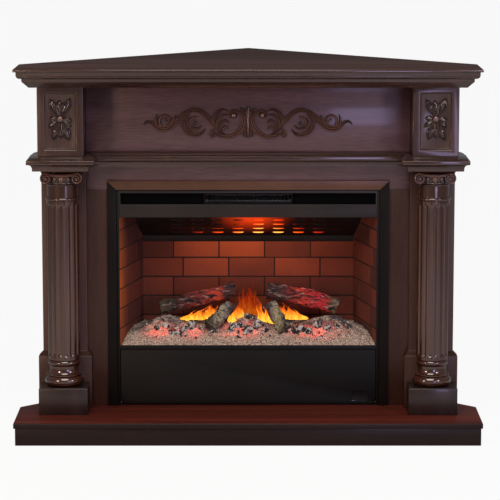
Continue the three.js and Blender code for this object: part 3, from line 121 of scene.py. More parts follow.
class Shader:
    """A material in the making: one Principled surface and the nodes that feed it."""

    def __init__(self, name: str, roughness: float, metallic: float = 0.0) -> None:
        """Starts a material with plain settings.

        Args:
            name: Name of the material.
            roughness: Roughness of the surface.
            metallic: 1 for bare metal, 0 for everything else.
        """
        self.material = bpy.data.materials.new(name)
        self.material.use_nodes = True
        self.tree = self.material.node_tree
        self.surface = next(n for n in self.tree.nodes if n.type == "BSDF_PRINCIPLED")
        self.output = next(n for n in self.tree.nodes if n.type == "OUTPUT_MATERIAL")
        self.surface.inputs["Roughness"].default_value = roughness
        self.surface.inputs["Metallic"].default_value = metallic
        self.place = self.tree.nodes.new("ShaderNodeTexCoord").outputs["Object"]

    def set(self, **values: object) -> None:
        """Sets sockets of the surface, with underscores for the spaces in their names."""
        for name, value in values.items():
            self.surface.inputs[name.replace("_", " ")].default_value = value

    def stretched(self, scale: Sequence[float]) -> bpy.types.NodeSocket:
        """Object coordinates scaled by axis, so that a pattern runs long where the scale is small."""
        mapping = self.tree.nodes.new("ShaderNodeMapping")
        mapping.inputs["Scale"].default_value = scale
        self.tree.links.new(self.place, mapping.inputs["Vector"])
        return mapping.outputs["Vector"]

    def noise(
        self, scale: float, detail: float = 4.0, stretch: Sequence[float] = (1, 1, 1), warp: float = 0.0
    ) -> bpy.types.NodeSocket:
        """Adds a noise pattern.

        Args:
            scale: Features per metre.
            detail: Number of finer layers.
            stretch: Scale by axis.
            warp: How far the pattern is drawn out of shape.

        Returns:
            The noise value, from 0 to 1.
        """
        noise = self.tree.nodes.new("ShaderNodeTexNoise")
        noise.inputs["Scale"].default_value = scale
        noise.inputs["Detail"].default_value = detail
        noise.inputs["Distortion"].default_value = warp
        self.tree.links.new(self.stretched(stretch), noise.inputs["Vector"])
        return noise.outputs["Fac"]

    def cells(self, scale: float) -> bpy.types.NodeSocket:
        """Adds a pattern of cells and returns the distance from their edges."""
        cells = self.tree.nodes.new("ShaderNodeTexVoronoi")
        cells.feature = "DISTANCE_TO_EDGE"
        cells.inputs["Scale"].default_value = scale
        self.tree.links.new(self.stretched((1, 1, 1)), cells.inputs["Vector"])
        return cells.outputs["Distance"]

    def ramp(self, value: bpy.types.NodeSocket, *stops: tuple[float, Tint]) -> bpy.types.NodeSocket:
        """Turns a value into a colour.

        Args:
            value: The value to read.
            stops: Places along the value, each with its colour.

        Returns:
            The colour socket.
        """
        ramp = self.tree.nodes.new("ShaderNodeValToRGB")
        elements = ramp.color_ramp.elements
        while len(elements) < len(stops):
            elements.new(0.5)
        for element, (place, colour) in zip(elements, stops):
            element.position = place
            element.color = (*linear(colour), 1.0)
        self.tree.links.new(value, ramp.inputs["Fac"])
        return ramp.outputs["Color"]

    def grey(self, value: bpy.types.NodeSocket, low: float, high: float) -> bpy.types.NodeSocket:
        """Stretches the part of a value between low and high to run from 0 to 1."""
        node = self.tree.nodes.new("ShaderNodeMapRange")
        node.inputs["From Min"].default_value = low
        node.inputs["From Max"].default_value = high
        self.tree.links.new(value, node.inputs["Value"])
        return node.outputs["Result"]

    def maths(self, operation: str, first: object, second: object = 0.0) -> bpy.types.NodeSocket:
        """Joins two values, each a socket or a number, by an operation of the Math node."""
        node = self.tree.nodes.new("ShaderNodeMath")
        node.operation = operation
        for socket, value in zip(node.inputs, (first, second)):
            if isinstance(value, bpy.types.NodeSocket):
                self.tree.links.new(value, socket)
            else:
                socket.default_value = value
        return node.outputs["Value"]

    def weighed(
        self, first: bpy.types.NodeSocket, much: float, second: bpy.types.NodeSocket, more: float
    ) -> bpy.types.NodeSocket:
        """Sum of two values, each multiplied by its own weight."""
        return self.maths("ADD", self.maths("MULTIPLY", first, much), self.maths("MULTIPLY", second, more))

    def swayed(
        self, value: bpy.types.NodeSocket, pattern: bpy.types.NodeSocket, much: float
    ) -> bpy.types.NodeSocket:
        """A value that a pattern moves up and down about its middle."""
        return self.maths("ADD", value, self.maths("MULTIPLY", self.maths("SUBTRACT", pattern, 0.5), much))

    def mix(self, share: object, first: object, second: object) -> bpy.types.NodeSocket:
        """Mixes two colours, each a socket or a colour.

        Args:
            share: How much of the second is used, a socket or a number.
            first: The lower colour.
            second: The upper colour.

        Returns:
            The mixed colour.
        """
        node = self.tree.nodes.new("ShaderNodeMix")
        node.data_type = "RGBA"
        for index, value in ((0, share), (6, first), (7, second)):
            socket = node.inputs[index]
            if isinstance(value, bpy.types.NodeSocket):
                self.tree.links.new(value, socket)
            else:
                socket.default_value = value if index == 0 else (*linear(value), 1.0)
        return node.outputs[2]

    def split(self) -> dict[str, bpy.types.NodeSocket]:
        """Object coordinates as separate values x, y and z."""
        node = self.tree.nodes.new("ShaderNodeSeparateXYZ")
        self.tree.links.new(self.place, node.inputs["Vector"])
        return {axis.lower(): node.outputs[axis] for axis in "XYZ"}

    def glow_about(self, centre: Sequence[float], reach: Sequence[float]) -> bpy.types.NodeSocket:
        """A value that falls smoothly from 1 at a place to 0 at a reach along each axis."""
        mapping = self.tree.nodes.new("ShaderNodeMapping")
        mapping.vector_type = "TEXTURE"
        mapping.inputs["Location"].default_value = centre
        mapping.inputs["Scale"].default_value = reach
        ball = self.tree.nodes.new("ShaderNodeTexGradient")
        ball.gradient_type = "QUADRATIC_SPHERE"
        self.tree.links.new(self.place, mapping.inputs["Vector"])
        self.tree.links.new(mapping.outputs["Vector"], ball.inputs["Vector"])
        return ball.outputs["Fac"]

    def piece_value(self, name: str) -> bpy.types.NodeSocket:
        """Reads a value that the piece carries on its faces."""
        node = self.tree.nodes.new("ShaderNodeAttribute")
        node.attribute_name = name
        return node.outputs["Fac"]

    def colour(self, socket: bpy.types.NodeSocket) -> None:
        """Feeds the base colour."""
        self.tree.links.new(socket, self.surface.inputs["Base Color"])

    def roughness(self, socket: bpy.types.NodeSocket) -> None:
        """Feeds the roughness."""
        self.tree.links.new(socket, self.surface.inputs["Roughness"])

    def bump(self, height: bpy.types.NodeSocket, depth: float, strength: float = 1.0) -> None:
        """Raises the surface by a height pattern.

        Args:
            height: The pattern, from 0 to 1.
            depth: Depth of the pattern in metres.
            strength: Share of the effect.
        """
        node = self.tree.nodes.new("ShaderNodeBump")
        node.inputs["Distance"].default_value = depth
        node.inputs["Strength"].default_value = strength
        self.tree.links.new(height, node.inputs["Height"])
        earlier = self.surface.inputs["Normal"]
        if earlier.is_linked:
            self.tree.links.new(earlier.links[0].from_socket, node.inputs["Normal"])
        self.tree.links.new(node.outputs["Normal"], earlier)

    def glow(self, colour: bpy.types.NodeSocket, strength: float) -> None:
        """Makes the surface give off light of a colour."""
        self.tree.links.new(colour, self.surface.inputs["Emission Color"])
        self.surface.inputs["Emission Strength"].default_value = strength

    def glow_where(self, share: bpy.types.NodeSocket, colour: object, strength: float) -> None:
        """Makes the surface give off light of a colour, a socket or a tint, by a share of it."""
        self.glow(self.mix(share, UNLIT, colour), strength)


# ------------------------------------------------------------------ finishes


@dataclass(frozen=True)
class LacqueredWood:
    """Dark stained wood under satin lacquer."""

    name: str
    grain: Grain
    dark: str
    middle: str
    light: str
    roughness: float = 0.32
    gloss: float = 0.3
    level: float = 0.5

    def material(self) -> bpy.types.Material:
        """Builds the material."""
        shader = Shader(self.name, self.roughness)
        figure = shader.noise(11, 3, self.grain.value, 1.2)
        fibre = shader.noise(430, 6, self.grain.value)
        mixed = shader.weighed(figure, 0.55, fibre, 0.45)
        tint = shader.ramp(mixed, (0.34, self.dark), (0.5, self.middle), (0.66, self.light))
        shader.colour(tint)
        shader.roughness(shader.maths("ADD", shader.maths("MULTIPLY", fibre, 0.16), self.roughness - 0.08))
        shader.bump(fibre, 0.1 * MM, 0.5)
        shader.set(Coat_Weight=self.gloss, Coat_Roughness=0.1, Specular_IOR_Level=self.level,
                   Specular_Tint=(1.0, 0.86, 0.78, 1))
        return shader.material


@dataclass(frozen=True)
class CarvedWood:
    """Carved wood under gloss lacquer, with painted shade in its depths and a painted red-brown highlight on
    its crests.
    """

    name: str
    back: float
    front: float
    # colour of the painted highlight on the crests
    crest: str = "6e4434"

    def material(self) -> bpy.types.Material:
        """Builds the material."""
        shader = Shader(self.name, 0.24)
        fibre = shader.noise(430, 5, (0.1, 1, 1))
        # painted shade and highlight: dark towards the carving's back plane, lighter red brown towards its
        # crests
        depth = shader.grey(shader.split()["y"], self.back * MM, self.front * MM)
        depth_shading = shader.swayed(depth, fibre, 0.25)
        shader.colour(shader.ramp(depth_shading, (0.12, "080403"), (0.5, "2a140e"), (1.0, self.crest)))
        shader.bump(fibre, 0.1 * MM, 0.4)
        shader.set(Coat_Weight=0.6, Coat_Roughness=0.12, Specular_IOR_Level=0.6,
                   Specular_Tint=(1.0, 0.84, 0.74, 1))
        return shader.material


@dataclass(frozen=True)
class RawBoard:
    """Unfinished back of a particle board: pale chips pressed together."""

    name: str = "raw_board"

    def material(self) -> bpy.types.Material:
        """Builds the material."""
        shader = Shader(self.name, 0.85)
        chips = shader.cells(420)
        shade = shader.noise(35, 5)
        tint = shader.ramp(shade, (0.3, "7a6248"), (0.7, "a98e6c"))
        shader.colour(shader.mix(shader.grey(chips, 0.0, 0.16), "6b5338", tint))
        shader.bump(chips, 0.25 * MM, 0.6)
        return shader.material


@dataclass(frozen=True)
class CoatedMetal:
    """Sheet metal under a coat of paint: a base tone, a fine grain and a share of metal in it."""

    name: str
    tone: str
    second: str
    roughness: float
    metallic: float
    grain: float = 900.0
    brushed: Sequence[float] = (1, 1, 1)
    level: float = 0.5

    def material(self) -> bpy.types.Material:
        """Builds the material."""
        shader = Shader(self.name, self.roughness, self.metallic)
        fine = shader.noise(self.grain, 3, self.brushed)
        cloud = shader.noise(7, 3)
        shader.colour(shader.ramp(shader.maths("MULTIPLY", shader.maths("ADD", fine, cloud), 0.5),
                                  (0.35, self.tone), (0.65, self.second)))
        shader.roughness(shader.maths("ADD", shader.maths("MULTIPLY", cloud, 0.15), self.roughness - 0.07))
        shader.bump(fine, 0.05 * MM, 0.5)
        shader.set(Specular_IOR_Level=self.level)
        return shader.material


@dataclass(frozen=True)
class Moulded:
    """Moulded plastic with a fine spark-eroded grain."""

    name: str
    tone: str
    roughness: float = 0.5
    through: float = 0.0

    def material(self) -> bpy.types.Material:
        """Builds the material."""
        shader = Shader(self.name, self.roughness)
        fine = shader.noise(1500, 2)
        tone = linear(self.tone)
        shader.colour(shader.ramp(fine, (0.3, tuple(c * 0.85 for c in tone)), (0.7, tone)))
        shader.bump(fine, 0.04 * MM, 0.5)
        shader.set(Transmission_Weight=self.through)
        return shader.material


@dataclass(frozen=True)
class FiredBrick:
    """Brick-effect lining, each brick in its own tone, with painted firelight glowing on it near the fire."""

    name: str
    # painted firelight: where its glow is strongest, how far it reaches, its strength and its colour
    firelight_centre: tuple[float, float, float]
    reach: tuple[float, float, float]
    glowing: float
    light: str = "b0441a"

    def material(self) -> bpy.types.Material:
        """Builds the material."""
        shader = Shader(self.name, 0.85)
        tone = shader.piece_value("tone")
        patch = shader.noise(14, 4)
        grit = shader.noise(300, 6)
        mixed = shader.weighed(tone, 0.55, patch, 0.45)
        tint = shader.ramp(mixed, (0.2, "3e1407"), (0.5, "5e200b"), (0.8, "7e3016"))
        shader.colour(shader.mix(shader.maths("MULTIPLY", grit, 0.6), tint, "2c130b"))
        shader.bump(grit, 0.6 * MM, 0.7)
        # painted firelight: a glow that falls off away from the fire, stronger on the lighter bricks
        painted_firelight = shader.maths("MULTIPLY", shader.glow_about(self.firelight_centre, self.reach),
                            shader.maths("ADD", shader.maths("MULTIPLY", mixed, 0.9), 0.3))
        shader.glow_where(painted_firelight, self.light, self.glowing)
        return shader.material


@dataclass(frozen=True)
class AshAndEmbers:
    """Moulded bed of pale ash, darker in cloudy patches towards the back, with red heat under it in four
    places.
    """

    name: str = "ash_and_embers"
    hot: tuple[tuple[float, float], ...] = ((-0.232, 0.052), (-0.145, 0.045), (-0.018, 0.085), (0.17, 0.095))
    middle: tuple[float, float] = (-0.118, 0.245)
    spot: tuple[float, float, float] = (1.3, 0.07, 0.045)
    darker_back_span: tuple[float, float] = (-0.128, -0.085)

    def material(self) -> bpy.types.Material:
        """Builds the material."""
        shader = Shader(self.name, 0.95)
        grit = shader.noise(330, 8)
        cloud = shader.noise(38, 5)
        pale = shader.ramp(grit, (0.38, "2c2220"), (0.47, "8d7463"), (0.6, "cdb8a4"))
        darker_grit = shader.ramp(grit, (0.4, "120e0d"), (0.6, "5b5451"))
        # darker grit in cloudy patches towards the back of the bed
        back = shader.grey(shader.split()["y"], *self.darker_back_span)
        shader.colour(shader.mix(shader.maths("MULTIPLY", back, shader.grey(cloud, 0.4, 0.55)), pale, darker_grit))
        shader.bump(grit, 2.0 * MM, 0.9)
        glowing = 0.0
        for x, reach in self.hot:
            spot = shader.glow_about((x, *self.middle), (reach * self.spot[0], *self.spot[1:]))
            glowing = shader.maths("MAXIMUM", spot, glowing)
        patchy = shader.maths("MULTIPLY", glowing, shader.grey(shader.noise(60, 4), 0.34, 0.56))
        strong = shader.maths("MULTIPLY", patchy, 2.4)
        shader.glow(shader.ramp(strong, (0.0, UNLIT), (0.5, "8e2620"), (1.0, "e8402e")), 0.75)
        return shader.material


@dataclass(frozen=True)
class Clinker:
    """Half-burnt lumps: black char, broken sharply by white ash, and red on their undersides."""

    name: str = "clinker"

    def material(self) -> bpy.types.Material:
        """Builds the material."""
        shader = Shader(self.name, 0.9)
        ash = shader.grey(shader.noise(95, 7, (1, 1, 1), 0.6), 0.49, 0.56)
        grain = shader.noise(500, 4)
        char = shader.ramp(grain, (0.35, "0d0a09"), (0.65, "352c29"))
        white = shader.ramp(grain, (0.35, "857b74"), (0.65, "d8d0c8"))
        shader.colour(shader.mix(ash, char, white))
        shader.bump(grain, 1.2 * MM, 0.8)
        glowing = shader.maths("MULTIPLY", shader.grey(shader.noise(42, 3), 0.56, 0.68),
                            shader.grey(shader.split()["z"], 0.262, 0.24))
        shader.glow_where(glowing, "e0382a", 0.8)
        return shader.material


@dataclass(frozen=True)
class CharredBark:
    """Burnt log lying across the fire: its tone and its heat change from one end to the other."""

    name: str
    ends: tuple[float, float]
    bark: tuple[str, ...]
    glowing: tuple[str, ...]
    along: tuple[float, float, float] = (0.3, 1.0, 1.0)

    def material(self) -> bpy.types.Material:
        """Builds the material."""
        shader = Shader(self.name, 0.9)
        ridge = shader.noise(120, 8, self.along, 0.8)
        place = shader.grey(shader.split()["x"], *self.ends)
        shifted = shader.maths("ADD", place, shader.maths("MULTIPLY", shader.noise(30, 5), 0.3))
        steps = [0.15 + i / (len(self.bark) - 1) for i in range(len(self.bark))]
        base = shader.ramp(shifted, *[(min(1.0, s), c) for s, c in zip(steps, self.bark)])
        ash = shader.grey(shader.noise(110, 7, self.along), 0.56, 0.62)
        lit = shader.mix(shader.maths("MULTIPLY", ash, 0.4), base, "9a8c80")
        shader.colour(shader.mix(shader.grey(ridge, 0.5, 0.36), lit, "0c0807"))
        shader.bump(ridge, 3.0 * MM, 0.9)
        hot = shader.ramp(shifted, *[(min(1.0, s), c) for s, c in zip(steps, self.glowing)])
        shader.glow_where(shader.grey(ridge, 0.4, 0.56), hot, 0.9)
        return shader.material


@dataclass(frozen=True)
class Flame:
    """Light of a flame: yellow at its foot, orange above, red and clear towards its tip."""

    name: str
    foot: float
    height: float
    strength: float = 1.5
    low: str = "ffc040"
    mid: str = "ff8420"
    top: str = "c42c08"

    def material(self) -> bpy.types.Material:
        """Builds the material."""
        shader = Shader(self.name, 1.0)
        rise = shader.maths("DIVIDE", shader.maths("SUBTRACT", shader.split()["z"], self.foot), self.height)
        lick = shader.noise(120, 5, (1, 1, 0.25), 1.2)
        shape = shader.swayed(rise, lick, 1.3)
        shader.set(Base_Color=(*UNLIT, 1), Specular_IOR_Level=0.0)
        tint = shader.ramp(shape, (0.05, self.low), (0.4, self.mid), (0.85, self.top))
        shader.glow(tint, self.strength)
        alpha = shader.maths("MULTIPLY", shader.grey(shape, 0.85, 0.2), 0.85)
        shader.tree.links.new(alpha, shader.surface.inputs["Alpha"])
        return shader.material


@dataclass(frozen=True)
class PaintedLouvreLight:
    """Painted light in the louvre slots: red above, orange and yellow along the lowest row."""

    name: str = "heat_glow"
    middle: tuple[float, float, float] = (0.045, 0.0, 0.505)

    def material(self) -> bpy.types.Material:
        """Builds the material."""
        shader = Shader(self.name, 1.0)
        shader.set(Base_Color=(*UNLIT, 1), Specular_IOR_Level=0.0)
        low = shader.grey(shader.split()["z"], 0.5, 0.486)
        core = shader.glow_about(self.middle, (0.11, 0.1, 0.07))
        row = shader.maths("MULTIPLY", shader.glow_about((0.035, 0.02, 0.482), (0.24, 0.1, 0.1)), low)
        glowing = shader.maths("ADD", core, shader.maths("MULTIPLY", row, 1.2))
        steps = ((0.05, (0.004, 0.003, 0.003)), (0.25, "c02808"), (0.6, "ff5a14"), (1.0, "ffb04a"))
        shader.glow(shader.ramp(glowing, *steps), 2.0)
        return shader.material


@dataclass(frozen=True)
class PaintedGlowSheet:
    """Black sheet over the fire, with a painted red glow of light around the louvres."""

    name: str = "heated_sheet"

    def material(self) -> bpy.types.Material:
        """Builds the material."""
        shader = Shader(self.name, 0.38, 0.2)
        fine = shader.noise(700, 3)
        shader.colour(shader.ramp(fine, (0.35, "0b0807"), (0.65, "17110f")))
        shader.bump(fine, 0.05 * MM, 0.5)
        # painted light: a red glow on the sheet about the louvres
        painted_glow = shader.glow_about((0.012, -0.03, 0.53), (0.12, 0.12, 0.06))
        shader.glow_where(shader.maths("MULTIPLY", painted_glow, 1.5), "e23a0c", 1.1)
        return shader.material


@dataclass
class Palette:
    """Every finish of the fireplace, built once."""

    made: dict[str, bpy.types.Material] = field(default_factory=dict)

    def build(self) -> None:
        """Builds all finishes and files them by name."""
        cold = ("000000", "000000", "000000", "000000", "2a0a04")
        leaning = (0.7, 1.0, 0.5)
        finishes = [
            LacqueredWood("wood_moulded", Grain.ACROSS, "21130f", "33211c", "45302a", 0.24, 0.5),
            # the panel finish's violet tint is partly the stain and partly a painted violet sheen
            LacqueredWood("wood_panel", Grain.ACROSS, "332022", "4a3133", "5e4345", 0.36, 0.25),
            LacqueredWood("wood_stile", Grain.UPRIGHT, "24110c", "321a12", "40241a", 0.38, 0.08, 0.35),
            LacqueredWood("wood_block", Grain.UPRIGHT, "23140f", "35211c", "462f28", 0.34, 0.3),
            # the foot, plinth and side finishes are darker copies of the stain: painted shade, darker towards
            # the bottom
            LacqueredWood("wood_foot", Grain.UPRIGHT, "140a09", "1f1210", "2c1c18", 0.36, 0.2),
            LacqueredWood("wood_plinth", Grain.ACROSS, "100706", "190d0b", "261713", 0.4, 0.05, 0.25),
            LacqueredWood("wood_side", Grain.DEEP, "100706", "190d0b", "261713", 0.4, 0.05, 0.25),
            # the top finishes of shelf and hearth are lighter copies of the stain: painted light on their top
            # faces
            LacqueredWood("wood_top", Grain.ACROSS, "3c2a26", "4a3531", "57423d", 0.6, 0.0, 0.08),
            LacqueredWood("wood_hearth", Grain.ACROSS, "37140e", "4f1f17", "662b20", 0.5, 0.0, 0.12),
            LacqueredWood("wood_turned", Grain.UPRIGHT, "241209", "34190f", "462516", 0.17, 0.7, 0.7),
            CarvedWood("wood_applique", -196.5, -204.0, "623c32"),
            CarvedWood("wood_rosette", -285.0, -296.0, "5c3e36"),
            CarvedWood("wood_capital", -276.0, -290.0, "6a4434"),
            RawBoard(),
            CoatedMetal("bronze", "44291b", "5e3c26", 0.36, 0.3, 1400, (0.05, 1, 1)),
            CoatedMetal("bronze_side", "0e0b08", "17120d", 0.42, 0.0, 1400, (1, 1, 0.05), 0.1),
            CoatedMetal("black_coat", "050302", "0b0705", 0.48, 0.0, level=0.2),
            CoatedMetal("bar_coat", "130d0a", "20160f", 0.42, 0.1, 1100, (0.08, 1, 1), 0.4),
            # near-black finish of the outlet slot: its black metal, and painted shade in the recess
            CoatedMetal("slot_black", "010101", "020202", 0.8, 0.0, level=0.05),
            PaintedGlowSheet(),
            PaintedLouvreLight(),
            CoatedMetal("zinc", "6f7375", "8f9395", 0.38, 0.9, 500, (0.08, 1, 1)),
            CoatedMetal("bare_aluminium", "9a9c9e", "b4b6b8", 0.3, 0.95, 700, (0.1, 1, 1)),
            Moulded("black_plastic", "191919", 0.5),
            Moulded("red_plastic", "8c1f18", 0.35),
            Moulded("dark_window", "040404", 0.1),
            Moulded("tank_plastic", "8fb0c4", 0.2, 0.55),
            Moulded("mortar", "1c0f0a", 0.9),
            FiredBrick("brick_back_face", (0.0, 0.036, 0.5), (0.4, 0.2, 0.27), 0.95),
            FiredBrick("brick_side_face", (-0.12, -0.24, 0.36), (0.44, 0.17, 0.4), 3.4, "d0601a"),
            AshAndEmbers(),
            Clinker(),
            CharredBark("bark_left", (-0.24, -0.03), ("4a3c2a", "100a08", "1a0c0c", "180c0e", "1c1817"),
                        ("000000", "200604", "701c1a", "a83016", "3a0c06")),
            CharredBark("bark_right", (0.047, 0.244), ("221d1c", "181211", "200c0d", "220a0d", "4c3c24"),
                        ("140402", "4c100a", "b0281a", "b41a22", "200404")),
            CharredBark("bark_lean_left", (-0.116, -0.033),
                        ("0e0908", "4c4234", "94886e", "6c6460", "342e2c"), cold, leaning),
            CharredBark("bark_lean_right", (0.112, 0.041),
                        ("0e0908", "4c4232", "948a66", "6c6460", "342e2c"), cold, leaning),
            Flame("low_flame", 0.256, 0.055),
            Flame("tall_flame", 0.262, 0.12, 0.6, "f0701c", "c83a0e", "701204"),
        ]
        for finish in finishes:
            self.made[finish.name] = finish.material()

    def __getitem__(self, name: str) -> bpy.types.Material:
        """The finish of that name."""
        return self.made[name]


# ------------------------------------------------------------------ modelling helpers


def deselect() -> None:
    """Leaves object mode with nothing selected."""
    if bpy.context.object and bpy.context.object.mode != "OBJECT":
        bpy.ops.object.mode_set(mode="OBJECT")
    bpy.ops.object.select_all(action="DESELECT")


def take(*objects: bpy.types.Object) -> None:
    """Selects just these objects and makes the first one active."""
    deselect()
    for obj in objects:
        obj.select_set(True)
    bpy.context.view_layer.objects.active = objects[0]


@contextmanager
def editing(obj: bpy.types.Object, mode: str = "VERT") -> Iterator[None]:
    """Edit mode on one object, with nothing selected in it at the start.

    Args:
        obj: The object to edit.
        mode: VERT, EDGE or FACE, what is selected.
    """
    take(obj)
    bpy.ops.object.mode_set(mode="EDIT")
    bpy.ops.mesh.select_mode(type=mode)
    bpy.ops.mesh.select_all(action="DESELECT")
    yield
    bpy.ops.object.mode_set(mode="OBJECT")


def pick(obj: bpy.types.Object, test: Test) -> None:
    """In edit mode, selects the vertices whose place passes a test, and nothing else."""
    bm = bmesh.from_edit_mesh(obj.data)
    for vertex in bm.verts:
        vertex.select_set(test(vertex.co))
    bm.select_flush_mode()
    bmesh.update_edit_mesh(obj.data)


def squeeze(obj: bpy.types.Object, test: Test, factors: Colour, centre: Sequence[float]) -> None:
    """In edit mode, scales the vertices whose place passes a test.

    Args:
        obj: The object that is being edited.
        test: Says of a place whether it is scaled.
        factors: The scale along each axis.
        centre: The place that stays where it is.
    """
    pick(obj, test)
    bpy.ops.transform.resize(value=factors, center_override=centre)


def apply(obj: bpy.types.Object, kind: str, **settings: object) -> None:
    """Adds a modifier with settings and applies it."""
    take(obj)
    modifier = obj.modifiers.new(kind.title(), kind)
    for name, value in settings.items():
        setattr(modifier, name, value)
    bpy.ops.object.modifier_apply(modifier=modifier.name)


def fixed(obj: bpy.types.Object) -> bpy.types.Object:
    """Bakes an object's place, turn and scale into its mesh."""
    take(obj)
    bpy.ops.object.transform_apply(location=True, rotation=True, scale=True)
    return obj


def settle(obj: bpy.types.Object, angle: float = 32.0) -> bpy.types.Object:
    """Bakes an object's place into its mesh and shades it smooth up to an angle in degrees."""
    fixed(obj)
    bpy.ops.object.shade_smooth_by_angle(angle=math.radians(angle))
    return obj


def tidy(obj: bpy.types.Object) -> None:
    """Merges doubled vertices and turns every face outwards."""
    with editing(obj):
        bpy.ops.mesh.select_all(action="SELECT")
        bpy.ops.mesh.remove_doubles(threshold=WELD)
        bpy.ops.mesh.normals_make_consistent(inside=False)


def joined(name: str, *objects: bpy.types.Object) -> bpy.types.Object:
    """Joins objects into the first one and names it."""
    take(*objects)
    if len(objects) > 1:
        bpy.ops.object.join()
    objects[0].name = name
    objects[0].data.name = name
    return objects[0]


def dress(obj: bpy.types.Object, material: bpy.types.Material) -> None:
    """Gives the whole object one finish."""
    obj.data.materials.clear()
    obj.data.materials.append(material)


def paint(
    obj: bpy.types.Object, material: bpy.types.Material, test: Callable[[Vector, Vector], bool]
) -> None:
    """Gives the faces whose centre and normal pass a test a second finish."""
    obj.data.materials.append(material)
    for face in obj.data.polygons:
        if test(face.center, face.normal):
            face.material_index = len(obj.data.materials) - 1


def stand_for(obj: bpy.types.Object, node: str, material: bpy.types.Material) -> bpy.types.Object:
    """Finishes a piece that takes the place of a CAD node: its body and its finish.

    Args:
        obj: The modelled piece.
        node: The node that it replaces.
        material: Its finish.

    Returns:
        The piece.
    """
    dress(obj, material)
    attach(obj, BODY_OF[node])
    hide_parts(node)
    log.info("%s replaces %s, %d faces", obj.name, node, len(obj.data.polygons))
    return obj


def add_detail(obj: bpy.types.Object, host: str, material: bpy.types.Material) -> None:
    """Finishes a small piece that sits on a CAD node and moves with it.

    Args:
        obj: The modelled piece.
        host: The node that carries it.
        material: Its finish.
    """
    dress(obj, material)
    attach(obj, BODY_OF[host])
    log.info("%s sits on %s, %d faces", obj.name, host, len(obj.data.polygons))


@contextmanager
def merged_copy(name: str, node: str) -> Iterator[bpy.types.Object]:
    """Edit mode on a copy of a CAD solid, its triangles merged into one skin and all of it selected."""
    obj = bpy.data.objects.new(name, frame["nodes"][node].data.copy())
    bpy.context.scene.collection.objects.link(obj)
    with editing(obj):
        bpy.ops.mesh.select_all(action="SELECT")
        bpy.ops.mesh.remove_doubles(threshold=MERGE)
        yield obj


def divided_copy(name: str, node: str, cuts: int) -> bpy.types.Object:
    """A merged copy of a CAD solid, with every edge cut into shorter ones."""
    with merged_copy(name, node) as obj:
        bpy.ops.mesh.subdivide(number_cuts=cuts)
    return obj


def roughen(
    obj: bpy.types.Object, grains: Sequence[tuple[str, float, float]], level: float, group: str = ""
) -> None:
    """Pushes a surface in and out by one or more noise patterns.

    Args:
        obj: The piece.
        grains: Kind, size and strength of each pattern, the last two in metres.
        level: Value of the pattern that leaves the surface where it is.
        group: Vertex group that the patterns keep to, or nothing for the whole piece.
    """
    for kind, size, strength in grains:
        texture = bpy.data.textures.new("rough", kind)
        texture.noise_scale = size
        apply(obj, "DISPLACE", texture=texture, strength=strength, mid_level=level, vertex_group=group)


def pick_long_edges(obj: bpy.types.Object, axis: int, reach: float) -> None:
    """In edit mode, selects the edges that run further than a reach along an axis."""
    bm = bmesh.from_edit_mesh(obj.data)
    for edge in bm.edges:
        edge.select_set(abs((edge.verts[0].co - edge.verts[1].co)[axis]) > reach)
    bmesh.update_edit_mesh(obj.data)


def eased_copy(node: str, ease: float, segments: int = 2) -> bpy.types.Object:
    """A copy of a CAD solid with its faces merged and its sharp edges rounded.

    Args:
        node: The node to copy.
        ease: Width of the rounding in metres.
        segments: Faces across the rounding.

    Returns:
        The new piece.
    """
    with merged_copy(f"{node}_finished", node) as obj:
        bpy.ops.mesh.dissolve_limited(angle_limit=math.radians(1.0))
    apply(obj, "BEVEL", width=ease, segments=segments, limit_method="ANGLE", angle_limit=math.radians(38),
          use_clamp_overlap=True)
    return settle(obj)


def finish_sheets(sheets: Sequence[Sheet], palette: Palette) -> None:
    """Eases and finishes CAD nodes by a table of finish, ease, faces across the ease, and nodes."""
    for finish, ease, segments, nodes in sheets:
        for node in nodes:
            stand_for(eased_copy(node, ease, segments), node, palette[finish])


def turned(
    name: str, profile: Sequence[tuple[float, float]], centre: tuple[float, float], steps: int
) -> bpy.types.Object:
    """A piece spun round an upright axis from its profile.

    Args:
        name: Name of the piece.
        profile: Radius and height of each point, from the bottom up.
        centre: The axis, as x and y.
        steps: Faces round the piece.

    Returns:
        The spun piece, closed and smooth.
    """
    radius, height = profile[0]
    bpy.ops.mesh.primitive_plane_add(size=MM, location=(0, 0, 0))
    obj = bpy.context.object
    obj.name = name
    with editing(obj):
        bpy.ops.mesh.select_all(action="SELECT")
        bpy.ops.mesh.merge(type="CENTER")
        bpy.ops.transform.translate(value=(centre[0] + radius, centre[1], height))
        for (r0, z0), (r1, z1) in zip(profile, profile[1:]):
            bpy.ops.mesh.extrude_vertices_move(TRANSFORM_OT_translate={"value": (r1 - r0, 0, z1 - z0)})
        bpy.ops.mesh.select_all(action="SELECT")
        bpy.ops.mesh.spin(steps=steps, angle=math.tau, center=(*centre, 0), axis=(0, 0, 1))
    tidy(obj)
    return obj


def round_bead(radius: float, bottom: float, height: float, steps: int = 8) -> list[tuple[float, float]]:
    """Profile of a half-round bead that swells out to a radius."""
    half = height / 2
    points = []
    for i in range(steps + 1):
        angle = -math.pi / 2 + math.pi * i / steps
        points.append((radius - half + half * math.cos(angle), bottom + half + half * math.sin(angle)))
    return points


